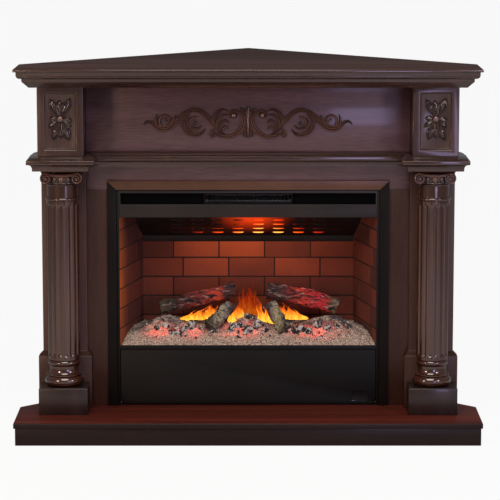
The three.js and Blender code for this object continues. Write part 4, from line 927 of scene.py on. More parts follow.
@dataclass
class Strand:
    """A rounded strand of carving along a smooth line, no taller than a share of its width."""

    points: Line
    tallest: float = 0.8

    def build(self, name: str, plane: float, relief: float, mirror: int = 1) -> bpy.types.Object:
        """Makes the strand, pressed flat against a plane that faces the front.

        Args:
            name: Name of the strand.
            plane: Where the plane stands, along Y.
            relief: How far the widest strand stands out.
            mirror: 1, or -1 for the left-hand copy.

        Returns:
            The strand as a mesh.
        """
        curve = bpy.data.curves.new(name, "CURVE")
        curve.dimensions = "3D"
        curve.bevel_depth = 1.0
        curve.bevel_resolution = 3
        curve.resolution_u = 8
        curve.use_fill_caps = True
        spline = curve.splines.new("BEZIER")
        spline.bezier_points.add(len(self.points) - 1)
        widest = max(width for _, _, width in self.points)
        for point, (x, z, width) in zip(spline.bezier_points, self.points):
            point.co = (mirror * x * MM, 0, z * MM)
            point.radius = width / 2 * MM
            point.handle_left_type = point.handle_right_type = "AUTO"
        obj = bpy.data.objects.new(name, curve)
        bpy.context.scene.collection.objects.link(obj)
        take(obj)
        bpy.ops.object.convert(target="MESH")
        obj = bpy.context.object
        height = min(relief, widest * MM * self.tallest)
        obj.scale = (1, height / (widest / 2 * MM), 1)
        obj.location = (0, plane, 0)
        return fixed(obj)


def ridged(line: Line, ridges: int, plane: float, relief: float, mirror: int = 1) -> list[bpy.types.Object]:
    """A broad strand with rounded ridges along it, as a gouge leaves them.

    Args:
        line: Points along the strand, as x, z and width in millimetres.
        ridges: How many ridges lie side by side.
        plane: Where the carving's back stands, along Y.
        relief: How far the ridges stand out.
        mirror: 1, or -1 for the left-hand copy.

    Returns:
        The strands.
    """
    parts = [Strand(line).build("stem", plane, relief * STEM_RELIEF, mirror)]
    for number in range(ridges):
        offset = (number - (ridges - 1) / 2) / ridges
        shifted = []
        for i, (x, z, width) in enumerate(line):
            before, after = line[max(0, i - 1)], line[min(len(line) - 1, i + 1)]
            dx, dz = after[0] - before[0], after[1] - before[1]
            length = math.hypot(dx, dz) or 1.0
            reach = offset * width * RIDGE_SPREAD
            thin = max(THINNEST_RIDGE, width * RIDGE_WIDTH / ridges)
            shifted.append((x - dz / length * reach, z + dx / length * reach, thin))
        height = relief * RIDGE_RELIEF
        parts.append(Strand(shifted).build("ridge", plane - height, height, mirror))
    return parts


def ball(x: float, z: float, radius: float, plane: float, mirror: int = 1) -> bpy.types.Object:
    """A round boss of the carving.

    Args:
        x: Its place across, in millimetres.
        z: Its height, in millimetres.
        radius: Its radius, in millimetres.
        plane: Where the carving's back stands, along Y.
        mirror: 1, or -1 for the left-hand copy.

    Returns:
        The boss.
    """
    bpy.ops.mesh.primitive_uv_sphere_add(segments=20, ring_count=12, radius=radius * MM,
                                         location=(mirror * x * MM, plane, z * MM))
    return settle(bpy.context.object, 60)


def flat_ball(
    place: Sequence[float], radii: Sequence[float], turn: Sequence[float], segments: int, rings: int
) -> bpy.types.Object:
    """A ball with its own radius along each axis.

    Args:
        place: Its middle.
        radii: The three radii in metres.
        turn: Its turn about X, Y and Z in radians.
        segments: Faces round it.
        rings: Faces from pole to pole.

    Returns:
        The ball.
    """
    bpy.ops.mesh.primitive_uv_sphere_add(segments=segments, ring_count=rings, radius=1, location=place)
    made = bpy.context.object
    made.scale = radii
    made.rotation_euler = turn
    return fixed(made)


def press_flat(obj: bpy.types.Object, plane: float) -> None:
    """Cuts away what lies behind an upright plane and closes the cut."""
    with editing(obj):
        bpy.ops.mesh.select_all(action="SELECT")
        bpy.ops.mesh.bisect(plane_co=(0, plane, 0), plane_no=(0, 1, 0), use_fill=True, clear_outer=True)


# ------------------------------------------------------------------ mantel


@dataclass
class Boards:
    """The flat and moulded boards of the mantel, with their edges eased."""

    ease: float = 0.9 * MM
    boards: tuple[Sheet, ...] = (
        ("wood_moulded", ease, 2, ("crown_board", "cornice_left", "cornice_right", "cornice_centre")),
        ("wood_panel", ease, 2, ("front_header", "frieze_board")),
        ("wood_stile", ease, 2, ("front_stile_left", "front_stile_right", "pilaster_left", "pilaster_right")),
        ("wood_block", ease, 2, ("corner_block_left", "corner_block_right")),
        ("wood_foot", ease, 2, ("pedestal_left", "pedestal_right")),
        ("wood_plinth", ease, 2, ("plinth_front",)),
        ("wood_side", ease, 2, ("plinth_side_left", "plinth_side_right")),
        ("raw_board", 0.4 * MM, 1, ("wall_board_left", "wall_board_right")),
    )
    slabs: tuple[tuple[str, str, str], ...] = (
        ("mantel_shelf", "wood_moulded", "wood_top"), ("hearth_slab", "wood_plinth", "wood_hearth"),
    )

    def build(self, palette: Palette) -> None:
        """Eases and finishes every board, the shelf and hearth with lighter finishes on their top faces as
        painted light.
        """
        finish_sheets(self.boards, palette)
        for node, edge, top in self.slabs:
            board = stand_for(eased_copy(node, self.ease), node, palette[edge])
            paint(board, palette[top], lambda centre, normal: normal.z > 0.9)


@dataclass
class Column:
    """A fluted column on a turned base, with a ring under its neck."""

    side: Side
    flutes: int = 16
    flute_section: tuple[float, ...] = (0.0, 0.0, 0.62, 0.92, 1.0, 0.92, 0.62, 0.0)
    flute_end: tuple[tuple[float, float], ...] = ((0.0, 0.0), (2 * MM, 0.6), (5 * MM, 0.9), (9 * MM, 1.0))
    shaft_radius: float = 41 * MM
    torus_height: float = 28 * MM
    scotia_radius: float = 36 * MM
    scotia_height: float = 24 * MM
    astragal_height: float = 16 * MM
    neck_height: float = 42 * MM
    flute_depth: float = 2.6 * MM
    flute_start: float = 9 * MM
    lip: float = 1.5 * MM
    flare_inset: float = 7 * MM
    hollow_inset: float = 3 * MM
    ring_height: float = 8 * MM
    cap_height: float = 5 * MM

    def __post_init__(self) -> None:
        """Takes the place of the axis from the CAD column."""
        self.node = f"column_{self.side.name.lower()}"
        low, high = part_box(self.node)
        self.low, self.high = low.z, high.z
        self.torus_radius = (high.x - low.x) / 2
        self.centre = ((low.x + high.x) / 2, low.y + self.torus_radius)

    def base(self) -> bpy.types.Object:
        """Torus, hollow and bead at the foot, cut flat against the block behind."""
        hollow_bottom = self.low + self.torus_height
        hollow_top = hollow_bottom + self.scotia_height
        flare = self.torus_radius - self.flare_inset - self.scotia_radius
        hollow = []
        for i in range(13):
            angle = math.pi / 2 * i / 12
            hollow.append((self.scotia_radius + flare * (1 - math.sin(angle)) + 0.8 * MM * math.sin(angle),
                           hollow_bottom + self.hollow_inset
                           + (self.scotia_height - 2 * self.hollow_inset) * (1 - math.cos(angle))))
        profile = [
            (0, self.low),
            *round_bead(self.torus_radius, self.low, self.torus_height, 12),
            (self.scotia_radius + flare + self.lip, hollow_bottom),
            (self.scotia_radius + flare + self.lip, hollow_bottom + 2 * MM),
            *hollow,
            (self.scotia_radius + self.hollow_inset, hollow_top - self.hollow_inset),
            (self.scotia_radius + self.hollow_inset, hollow_top),
            *round_bead(self.shaft_radius + self.lip, hollow_top, self.astragal_height, 10),
            (self.shaft_radius, hollow_top + self.astragal_height),
            (0, hollow_top + self.astragal_height),
        ]
        base = turned(f"{self.node}_base", profile, self.centre, 96)
        foot_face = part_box(self.node.replace("column", "pilaster"))[0].y
        press_flat(base, foot_face - GAP)
        return base

    def shaft(self) -> bpy.types.Object:
        """Shaft whose flutes have rounded ends."""
        bottom = self.low + self.torus_height + self.scotia_height + self.astragal_height
        top = self.high - self.neck_height
        lower = [(bottom + self.flute_start + rise, full) for rise, full in self.flute_end]
        upper = [(top - self.flute_start - rise, full) for rise, full in reversed(self.flute_end)]
        rings = [(bottom, 0.0), *lower, *upper, (top, 0.0)]
        profile = [(0, bottom), *((self.shaft_radius, z) for z, _ in rings), (0, top)]
        shaft = turned(f"{self.node}_shaft", profile, self.centre, self.flutes * len(self.flute_section))
        depths = sorted(set(self.flute_section) - {0.0})
        with editing(shaft):
            for level, full in rings:
                for depth in depths if full else ():
                    self.sink(shaft, level, depth, full)
        return shaft

    def sink(self, shaft: bpy.types.Object, level: float, depth: float, full: float) -> None:
        """Draws one ring of flute points in towards the axis.

        Args:
            shaft: The shaft, in edit mode.
            level: Height of the ring.
            depth: The share of the flute's depth whose points are sunk by this call.
            full: How much of the flute there is at this height.
        """
        across_flute = len(self.flute_section)
        steps = self.flutes * across_flute

        def on_step(place: Vector) -> bool:
            """Whether a point of this ring has that depth."""
            if abs(place.z - level) > 0.1 * MM:
                return False
            across = Vector((place.x - self.centre[0], place.y - self.centre[1]))
            if across.length < self.shaft_radius * 0.9:
                return False
            step = round(math.atan2(across.y, across.x) / math.tau * steps) % across_flute
            return self.flute_section[step] == depth

        factor = 1 - self.flute_depth * depth * full / self.shaft_radius
        squeeze(shaft, on_step, (factor, factor, 1), (*self.centre, level))

    def neck(self) -> bpy.types.Object:
        """Ring and neck under the capital."""
        ring_bottom = self.high - self.neck_height
        neck_radius = self.shaft_radius - 2 * MM
        profile = [
            (0, ring_bottom),
            (self.shaft_radius, ring_bottom),
            *round_bead(self.shaft_radius + 3.5 * MM, ring_bottom, self.ring_height, 8),
            (neck_radius, ring_bottom + self.ring_height),
            (neck_radius, self.high - self.cap_height),
            *round_bead(neck_radius + 2 * MM, self.high - self.cap_height, self.cap_height, 6),
            (0, self.high),
        ]
        return turned(f"{self.node}_neck", profile, self.centre, 96)

    def build(self, palette: Palette) -> None:
        """Models the column and puts it in the place of the CAD one."""
        column = joined(f"{self.node}_turned", self.base(), self.shaft(), self.neck())
        stand_for(settle(column, 28), self.node, palette["wood_turned"])


@dataclass
class Capital:
    """A capital with two scrolls, a sagging band between them and a row of eggs under the slab."""

    side: Side
    scroll_radius: float = 15.5 * MM
    slab_height: float = 8 * MM
    eggs: int = 5
    egg_step: float = 12.5
    egg_radii: tuple[float, float, float] = (7.4 * MM, 4.2 * MM, 8.4 * MM)
    dart_radii: tuple[float, float, float] = (1.6 * MM, 2.6 * MM, 7.5 * MM)
    cushion_radius: float = 41.5 * MM
    turns: float = 1.75
    face_inset: float = 3.5 * MM
    sunk: float = 3.5 * MM
    strand_relief: float = 3.4 * MM
    eye_radius: float = 3.4 * MM
    waist: float = 0.28
    waist_lift: float = 4 * MM
    spiral_steps: int = 34

    def __post_init__(self) -> None:
        """Takes its place from the CAD capital."""
        self.node = f"capital_{self.side.name.lower()}"
        self.low, self.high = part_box(self.node)
        self.middle = (self.low.x + self.high.x) / 2
        self.face = self.low.y + self.face_inset

    def slab(self) -> bpy.types.Object:
        """The eased top slab, from a box drawn in at its lower edge."""
        bpy.ops.mesh.primitive_cube_add(size=1)
        slab = bpy.context.object
        wide = self.high.x - self.low.x - 2 * MM
        deep = self.high.y - self.low.y - 1 * MM
        slab.scale = (wide, deep, self.slab_height)
        slab.location = (self.middle, self.high.y - deep / 2, self.high.z - self.slab_height / 2)
        fixed(slab)
        with editing(slab):
            squeeze(slab, lambda p: p.z < self.high.z - self.slab_height / 2, (0.92, 0.92, 1),
                    (self.middle, self.high.y, 0))
        apply(slab, "BEVEL", width=1.8 * MM, segments=3, limit_method="ANGLE")
        return slab

    def scroll(self, hand: int) -> list[bpy.types.Object]:
        """One scroll: a waisted bolster from front to back, a spiral on its end and the eye.

        Args:
            hand: -1 for the scroll at the left, 1 at the right.

        Returns:
            The parts of the scroll.
        """
        x = self.middle + hand * (self.high.x - self.low.x - 2 * self.scroll_radius) / 2
        z = self.low.z + self.scroll_radius
        disc = self.face + self.sunk
        length = self.high.y - disc
        bpy.ops.mesh.primitive_cylinder_add(vertices=48, radius=self.scroll_radius - 0.8 * MM, depth=length,
                                            location=(x, disc + length / 2, z), rotation=(math.pi / 2, 0, 0))
        bolster = fixed(bpy.context.object)
        with editing(bolster, "EDGE"):
            pick_long_edges(bolster, 1, length * 0.5)
            bpy.ops.mesh.subdivide(number_cuts=7)
            for i in range(1, 8):
                y = disc + length * i / 8
                bpy.ops.mesh.select_mode(type="VERT")
                waist = 1 - self.waist * math.sin(math.pi * i / 8)
                squeeze(bolster, lambda p, y=y: abs(p.y - y) < 0.5 * MM, (waist, 1, waist),
                        (x, y, z + self.waist_lift))
        points = []
        for i in range(self.spiral_steps):
            share = i / (self.spiral_steps - 1)
            angle = math.pi / 2 - hand * share * self.turns * math.tau
            radius = (self.scroll_radius - 1.6 * MM) * (1 - 0.8 * share)
            points.append(((x + radius * math.cos(angle)) / MM, (z + radius * math.sin(angle)) / MM,
                           4.2 - 1.6 * share))
        spiral = Strand(points).build("spiral", self.face, self.strand_relief)
        bpy.ops.mesh.primitive_uv_sphere_add(segments=16, ring_count=10, radius=self.eye_radius,
                                             location=(x, self.face + 0.5 * MM, z))
        eye = bpy.context.object
        return [bolster, spiral, eye]

    def band(self) -> list[bpy.types.Object]:
        """The band between the scrolls, sagging in the middle, with a raised rim above and below."""
        inner = (self.high.x - self.low.x) / 2 - self.scroll_radius
        top = self.high.z - self.slab_height - 1 * MM

        def sagging(drop: float, width: float) -> Line:
            """Points of a strand that hangs between the scrolls."""
            return [((self.middle + inner * t) / MM, (top - drop * (1 - t * t)) / MM, width)
                    for t in (-1, -0.5, 0, 0.5, 1)]

        rims = ((1.5 * MM, 2.4, 2.4 * MM), (8.5 * MM, 2.4, 2.4 * MM), (5 * MM, 6.5, 0.8 * MM))
        return [Strand(sagging(drop, width)).build("band", self.face, relief) for drop, width, relief in rims]

    def egg_row(self) -> list[bpy.types.Object]:
        """Cushion under the band, with eggs and darts round its front."""
        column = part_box(self.node.replace("capital", "column"))
        radius = self.cushion_radius
        centre = (self.middle, column[0].y + (column[1].x - column[0].x) / 2)
        top = self.high.z - self.slab_height - 2 * MM
        profile = [
            (0, self.low.z), (radius - 2 * MM, self.low.z),
            *round_bead(radius + 1.5 * MM, self.low.z, 5 * MM, 6),
            (radius - 1 * MM, self.low.z + 5 * MM), (radius + 1.5 * MM, self.low.z + 12 * MM),
            (radius + 3 * MM, top), (0, top),
        ]
        cushion = turned("cushion", profile, centre, 64)
        press_flat(cushion, self.high.y)
        parts = [cushion]
        for i in range(self.eggs * 2 - 1):
            angle = math.radians(-90) + math.radians(self.egg_step) * (i - (self.eggs - 1))
            is_egg = i % 2 == 0
            reach = radius + (1.2 if is_egg else 0.8) * MM
            place = (centre[0] + reach * math.cos(angle), centre[1] + reach * math.sin(angle),
                     self.low.z + (11.5 if is_egg else 10) * MM)
            radii = self.egg_radii if is_egg else self.dart_radii
            egg = flat_ball(place, radii, (0, 0, angle + math.pi / 2), 14, 9)
            with editing(egg):
                squeeze(egg, lambda p, z=place[2]: p.z < z - 1 * MM, (0.8, 0.8, 1), place)
            parts.append(egg)
        return parts

    def build(self, palette: Palette) -> None:
        """Models the capital and puts it in the place of the CAD one."""
        parts = [self.slab(), *self.scroll(-1), *self.scroll(1), *self.band(), *self.egg_row()]
        capital = joined(f"{self.node}_carved", *parts)
        stand_for(settle(capital, 40), self.node, palette["wood_capital"])


@dataclass
class Rosette:
    """A domed button in a star of ten veined leaves."""

    side: Side
    button: float = 10.4
    relief: float = 10 * MM
    leaves: tuple[tuple[float, float, float], ...] = (
        (64, 57, 19), (117, 55, 18), (250, 55, 18), (293, 58, 19), (93, 47, 17), (271, 49, 16),
        (352, 29, 16), (176, 26, 14), (322, 34, 13), (216, 36, 14),
    )
    leaf_width: float = 17
    blade: tuple[tuple[float, float], ...] = ((0.12, 5), (0.35, 9), (0.6, 14), (0.8, 10), (0.99, 1.5))
    vein: tuple[tuple[float, float], ...] = ((0.15, 4.0), (0.5, 3.4), (0.94, 1.2))
    rim: Line = (
        (0.2, 0.25, 3.0), (0.42, 0.62, 4.0), (0.64, 0.92, 4.6), (0.84, 0.56, 3.8), (1.0, 0.0, 1.6),
    )

    def __post_init__(self) -> None:
        """Takes its place from the CAD rosette."""
        self.node = f"rosette_{self.side.name.lower()}"
        low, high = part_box(self.node)
        self.middle = ((low.x + high.x) / 2 / MM, (low.z + high.z) / 2 / MM)
        self.plane = high.y

    def leaf(self, direction: float, length: float, width: float) -> list[bpy.types.Object]:
        """One leaf: a blade, a rim down each side of it that comes to a point, and a vein.

        Args:
            direction: Direction of the leaf in degrees, from +X towards +Z.
            length: Reach of its tip from the middle, in millimetres.
            width: Width across its lobes.

        Returns:
            The strands of the leaf.
        """
        along = Vector((math.cos(math.radians(direction)), math.sin(math.radians(direction))))
        across = Vector((-along.y, along.x))

        def at(share: float, offset: float) -> tuple[float, float]:
            """A place on the leaf, by shares of its length and half width."""
            point = along * (length * share) + across * (width / 2 * offset)
            return self.middle[0] + point.x, self.middle[1] + point.y

        size = width / self.leaf_width
        blade = [(*at(share, 0), wide * size) for share, wide in self.blade]
        strands = [Strand(blade).build("blade", self.plane, self.relief * 0.4)]
        for hand in (-1, 1):
            rim = [(*at(share, hand * offset), wide * size) for share, offset, wide in self.rim]
            strands.append(Strand(rim).build("rim", self.plane - self.relief * 0.15, self.relief * 0.6))
        vein = [(*at(share, 0), wide * size) for share, wide in self.vein]
        strands.append(Strand(vein).build("vein", self.plane - self.relief * 0.1, self.relief * 0.55))
        return strands

    def build(self, palette: Palette) -> None:
        """Models the rosette and puts it in the place of the CAD one."""
        parts = [strand for leaf in self.leaves for strand in self.leaf(*leaf)]
        bpy.ops.mesh.primitive_uv_sphere_add(segments=28, ring_count=16, radius=self.button * MM)
        dome = bpy.context.object
        dome.scale = (1, self.relief / (self.button * MM), 1)
        dome.location = (self.middle[0] * MM, self.plane, self.middle[1] * MM)
        settle(dome)
        rosette = joined(f"{self.node}_carved", *parts, dome)
        press_flat(rosette, self.plane)
        stand_for(settle(rosette, 50), self.node, palette["wood_rosette"])


@dataclass
class FriezeCarving:
    """Scroll applique across the frieze: the same strands on both sides of a palmette."""

    relief: float = 9 * MM
    balls: tuple[tuple[float, float, float], ...] = ((36, 18, 8.5), (209, 7, 3.5), (133, 0, 3.5))

    def __post_init__(self) -> None:
        """Takes its place from the CAD carving."""
        low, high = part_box("frieze_carving")
        self.plane = high.y
        self.middle = (low.z + high.z) / 2 / MM

    def lines(self) -> list[tuple[int, Line]]:
        """Strands of one side: how many ridges, then points as distance from the middle, height and width."""
        return [
            # stem from the tail through the trough, over the crest and down to the ring
            (3, [(264, -6, 3), (256, 2, 6), (247, 1, 9), (237, -6, 12), (226, -14, 15), (212, -16, 17),
                 (198, -11, 16), (184, 0, 15), (170, 14, 14), (152, 27, 12), (134, 31, 12), (116, 25, 13),
                 (102, 12, 13), (90, -1, 12), (80, -13, 10), (70, -25, 8), (58, -33, 5)]),
            # leaf of the trough, that ends in a spiral round a ball
            (1, [(222, -8, 6), (225, 5, 7), (217, 16, 7), (205, 16, 6), (199, 8, 6), (204, 0, 5)]),
            (1, [(229, -9, 5), (234, 2, 6), (233, 12, 5), (230, 21, 1.5)]),
            (1, [(199, -4, 5), (188, 10, 6), (183, 19, 2)]),
            # hanging leaf under the crest
            (3, [(150, 22, 6), (162, 10, 11), (165, -5, 13), (157, -21, 14), (142, -30, 13), (126, -31, 10),
                 (115, -25, 6), (109, -16, 2)]),
            (2, [(146, 12, 5), (151, 1, 8), (147, -10, 9), (137, -16, 7), (125, -15, 5), (118, -8, 2)]),
            (1, [(130, 13, 6), (141, 11, 6), (146, 2, 6), (141, -7, 5), (132, -7, 5), (129, 0, 4)]),
            # leaves that fan out beside the ring
            (3, [(82, -14, 6), (88, 0, 11), (85, 15, 12), (75, 27, 10), (63, 33, 6), (50, 29, 2)]),
            (2, [(76, -16, 5), (78, -2, 9), (73, 11, 9), (63, 19, 7), (52, 19, 2.5)]),
            (2, [(71, -18, 5), (69, -6, 8), (63, 3, 7), (55, 5, 6), (49, -2, 3)]),
            (1, [(65, -22, 4), (61, -13, 6), (54, -11, 5), (50, -18, 3)]),
            # small curl below them
            (1, [(84, -18, 4), (94, -24, 6), (97, -32, 5), (89, -37, 4), (84, -31, 3)]),
            # lower leaf that turns into the ring
            (2, [(96, -22, 3), (80, -31, 8), (62, -36, 11), (44, -36, 11), (30, -29, 11), (19, -17, 11),
                 (12, 1, 11), (15, 17, 10), (27, 28, 9), (40, 28, 8), (47, 20, 6), (44, 12, 5)]),
            # petals of the middle
            (1, [(11, -37, 4), (16, -26, 6), (10, -14, 5)]),
            (2, [(4, -39, 3), (8, -24, 7), (5, -6, 8), (5, 10, 7), (10, 26, 6), (20, 38, 2)]),
            (1, [(2, 8, 3), (5, 24, 6), (3, 36, 4), (0, 41, 1.5)]),
        ]

    def build(self, palette: Palette) -> None:
        """Models the carving and puts it in the place of the CAD one."""
        parts = []
        for mirror in (-1, 1):
            for ridges, line in self.lines():
                placed = [(x, self.middle + z, width) for x, z, width in line]
                parts += ridged(placed, ridges, self.plane, self.relief, mirror)
            for x, z, radius in self.balls:
                parts.append(ball(x, self.middle + z, radius, self.plane, mirror))
        spine = [(0, self.middle + z, width) for z, width in ((-40, 3), (-12, 8), (12, 6), (40, 3))]
        parts += ridged(spine, 1, self.plane, self.relief)
        carving = joined("frieze_carving_carved", *parts)
        press_flat(carving, self.plane)
        stand_for(settle(carving, 50), "frieze_carving", palette["wood_applique"])


# ------------------------------------------------------------------ insert


@dataclass
class InsertCase:
    """Sheet metal, linings and fittings of the insert."""

    sheets: tuple[Sheet, ...] = (
        ("bronze", 0.7 * MM, 2, ("trim_top",)),
        ("bronze_side", 0.7 * MM, 2, ("trim_left", "trim_right")),
        ("black_coat", 0.35 * MM, 2, ("case_side_left", "case_side_right", "case_top", "outlet_grille",
                                      "firebox_floor", "access_flap", "control_panel")),
        # the canopy's finish carries a painted red glow about the louvres
        ("heated_sheet", 0.3 * MM, 1, ("canopy",)),
        ("zinc", 0.3 * MM, 1, ("case_back", "case_floor", "fan_housing", "flap_hinge_rod")),
        ("bare_aluminium", 0.2 * MM, 1, ("fan_rotor", "heating_element")),
        ("black_plastic", 0.5 * MM, 2, ("flame_button", "heat_button", "mist_unit", "cable_gland")),
        ("red_plastic", 0.5 * MM, 2, ("power_rocker",)),
        ("tank_plastic", 1.0 * MM, 2, ("water_tank",)),
    )
    linings: tuple[tuple[str, str], ...] = (
        ("brick_back", "brick_back_face"), ("brick_side_left", "brick_side_face"),
        ("brick_side_right", "brick_side_face"),
    )
    fire: tuple[float, float, float] = (0, -0.05, 0.35)
    joint_depth: float = 0.8 * MM
    slot_depth: float = 4 * MM
    window: tuple[float, float, float, float] = (268.6, 301.4, 69.6, 94.4)
    louvre_columns: int = 8
    louvre_pitch: float = 53 * MM
    lens_radii: tuple[float, float, float] = (15 * MM, 3.4 * MM, 1.5 * MM)
    slope_top: tuple[float, float] = (-38 * MM, 527.8 * MM)
    slope_foot: tuple[float, float] = (25.7 * MM, 475.3 * MM)
    louvre_rows: tuple[float, ...] = (0.13, 0.377, 0.623, 0.87)
    seed: int = 3

    def bricks(self, palette: Palette) -> None:
        """Linings: every brick in its own tone, and dark mortar in the joints."""
        rng = random.Random(self.seed)
        for node, finish in self.linings:
            lining = eased_copy(node, 0.5 * MM, 1)
            tone = lining.data.attributes.new("tone", "FLOAT", "FACE")
            for face in lining.data.polygons:
                tone.data[face.index].value = rng.random()
            stand_for(lining, node, palette[finish])
            inside = self.inside_face(lining)
            paint(lining, palette["mortar"], lambda centre, normal: normal.dot(inside[1]) > 0.9
                  and (centre - inside[0]).dot(inside[1]) < -self.joint_depth)

    def inside_face(self, lining: bpy.types.Object) -> tuple[Vector, Vector]:
        """Centre and normal of the largest brick face that looks into the fire."""
        fire = Vector(self.fire)
        looking = [f for f in lining.data.polygons
                   if f.normal.dot(fire - f.center) > 0 and abs(f.normal.z) < 0.1]
        largest = max(looking, key=lambda f: f.area)
        return largest.center.copy(), largest.normal.copy()

    def louvre_glow(self, palette: Palette) -> None:
        """Lenses of light in the louvre slots of the canopy."""
        top, foot = Vector((0, *self.slope_top)), Vector((0, *self.slope_foot))
        tilt = math.atan2(foot.z - top.z, foot.y - top.y)
        lenses = []
        for share in self.louvre_rows:
            for column in range(self.louvre_columns):
                place = top.lerp(foot, share)
                place.x = (column - (self.louvre_columns - 1) / 2) * self.louvre_pitch
                lens = flat_ball(place, self.lens_radii, (tilt, 0, 0), 16, 8)
                with editing(lens):
                    squeeze(lens, lambda p, z=place.z: p.z > z, (0.82, 1, 1), place)
                lenses.append(lens)
        add_detail(settle(joined("louvre_glow", *lenses), 60), "canopy", palette["heat_glow"])

    def receiver_window(self, palette: Palette) -> None:
        """Dark pane in the recess of the flap, with its edge bevelled."""
        left, right, low, high = (value * MM for value in self.window)
        bpy.ops.mesh.primitive_cube_add(size=1)
        pane = bpy.context.object
        pane.scale = (right - left, 1.0 * MM, high - low)
        pane.location = ((left + right) / 2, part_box("access_flap")[0].y + 1.1 * MM, (low + high) / 2)
        settle(pane)
        with editing(pane, "FACE"):
            bm = bmesh.from_edit_mesh(pane.data)
            for face in bm.faces:
                face.select_set(face.normal.y < -0.9)
            bmesh.update_edit_mesh(pane.data)
            bpy.ops.mesh.inset(thickness=1.6 * MM, depth=-0.5 * MM)
        add_detail(joined("receiver_window", pane), "access_flap", palette["dark_window"])

    def build(self, palette: Palette) -> None:
        """Eases and finishes each sheet and fitting, and adds the light and the window."""
        finish_sheets(self.sheets, palette)
        bar = stand_for(eased_copy("upper_fascia", 0.35 * MM), "upper_fascia", palette["bar_coat"])
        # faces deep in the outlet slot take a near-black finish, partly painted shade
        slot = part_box("upper_fascia")[0].y + self.slot_depth
        paint(bar, palette["slot_black"], lambda centre, normal: centre.y > slot)
        self.bricks(palette)
        self.louvre_glow(palette)
        self.receiver_window(palette)


# ------------------------------------------------------------------ fire


@dataclass
class EmberBed:
    """Bed of ash and embers, roughened, with half-burnt lumps and flakes of ash on it."""

    crumbs: int = 60
    flakes: int = 260
    seed: int = 11
    lumps: tuple[tuple[float, float, float], ...] = (
        (-186, -118, 15), (-166, -104, 13), (-146, -90, 14), (-214, -100, 10), (-120, -98, 10),
        (-44, -112, 11), (-24, -100, 14), (0, -116, 17), (24, -104, 15), (44, -116, 10), (118, -112, 14),
        (138, -98, 13), (158, -116, 12), (182, -96, 15), (206, -106, 12), (232, -100, 9), (-92, -108, 9),
        (2, -84, 12), (98, -94, 10), (-236, -106, 7), (-8, -132, 8), (168, -132, 7), (-196, -134, 7),
    )
    bare_edge: float = 0.05
    bare_front: float = 0.03
    bare_back: float = 0.09

    def bed(self, palette: Palette) -> bpy.types.Object:
        """Roughened copy of the CAD bed."""
        bed = divided_copy("ember_bed_rough", "ember_bed", 5)
        low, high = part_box("ember_bed")
        group = bed.vertex_groups.new(name="top")
        inner = [v.index for v in bed.data.vertices
                 if v.co.z > low.z + 4 * MM and v.co.y > low.y + 2 * MM and v.co.y < high.y - 2 * MM]
        group.add(inner, 1.0, "REPLACE")
        roughen(bed, (("CLOUDS", 0.03, 7 * MM), ("CLOUDS", 0.007, 3 * MM)), 0.55, "top")
        settle(bed, 60)
        return stand_for(bed, "ember_bed", palette["ash_and_embers"])

    def lump(self, size: float, place: Vector, rng: random.Random, cuts: int = 2) -> bpy.types.Object:
        """One rough lump.

        Args:
            size: Its half width in metres.
            place: Its middle.
            rng: Source of its shape.
            cuts: How finely its surface is divided.

        Returns:
            The lump.
        """
        bpy.ops.mesh.primitive_ico_sphere_add(subdivisions=cuts, radius=size, location=place)
        lump = bpy.context.object
        lump.rotation_euler = Euler([rng.uniform(0, math.tau) for _ in range(3)])
        lump.scale = (rng.uniform(0.8, 1.35), rng.uniform(0.6, 1.0), rng.uniform(0.5, 0.85))
        fixed(lump)
        with editing(lump):
            bpy.ops.mesh.select_all(action="SELECT")
            bpy.ops.transform.vertex_random(offset=size * 0.5 / cuts, seed=rng.randrange(9999))
        return lump

    def top_of(self, bed: bpy.types.Object, x: float, y: float) -> Vector | None:
        """Where the bed's surface lies at a place, or nothing outside the bed."""
        hit, place, _, _ = bed.ray_cast(Vector((x, y, 0.5)), Vector((0, 0, -1)))
        return place if hit else None

    def clinkers(self, bed: bpy.types.Object, rng: random.Random) -> bpy.types.Object:
        """The large half-burnt lumps."""
        lumps = []
        for x, y, size in self.lumps:
            place = self.top_of(bed, x * MM, y * MM)
            if place:
                lumps.append(self.lump(size * MM, place + Vector((0, 0, size * 0.2 * MM)), rng, 4))
        clinkers = joined("clinker_lumps", *lumps)
        roughen(clinkers, (("CLOUDS", 0.009, 6 * MM),), 0.5)
        return settle(clinkers, 35)

    def scatter(
        self, bed: bpy.types.Object, name: str, count: int, sizes: tuple[float, float],
        area: tuple[float, float, float, float], rng: random.Random,
    ) -> bpy.types.Object:
        """Scatters small lumps over the bed.

        Args:
            bed: The bed that they lie on.
            name: Name of the joined piece.
            count: How many there are.
            sizes: Smallest and largest half width.
            area: Lowest and highest x, lowest and highest y.
            rng: Source of their places.

        Returns:
            All lumps as one piece.
        """
        lumps = []
        for _ in range(count):
            place = self.top_of(bed, rng.uniform(area[0], area[1]), rng.uniform(area[2], area[3]))
            size = rng.uniform(*sizes)
            if place:
                lumps.append(self.lump(size, place + Vector((0, 0, size * 0.25)), rng))
        return settle(joined(name, *lumps), 35)

    def build(self, palette: Palette) -> None:
        """Models the bed and what lies on it."""
        rng = random.Random(self.seed)
        bed = self.bed(palette)
        low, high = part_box("ember_bed")
        area = (low.x + self.bare_edge, high.x - self.bare_edge,
                low.y + self.bare_front, high.y - self.bare_back)
        add_detail(self.clinkers(bed, rng), "ember_bed", palette["clinker"])
        for name, count, sizes, finish in (
            ("clinker_crumbs", self.crumbs, (3 * MM, 6 * MM), "clinker"),
            ("ash_flakes", self.flakes, (1.5 * MM, 3 * MM), "ash_and_embers"),
        ):
            add_detail(self.scatter(bed, name, count, sizes, area, rng), "ember_bed", palette[finish])


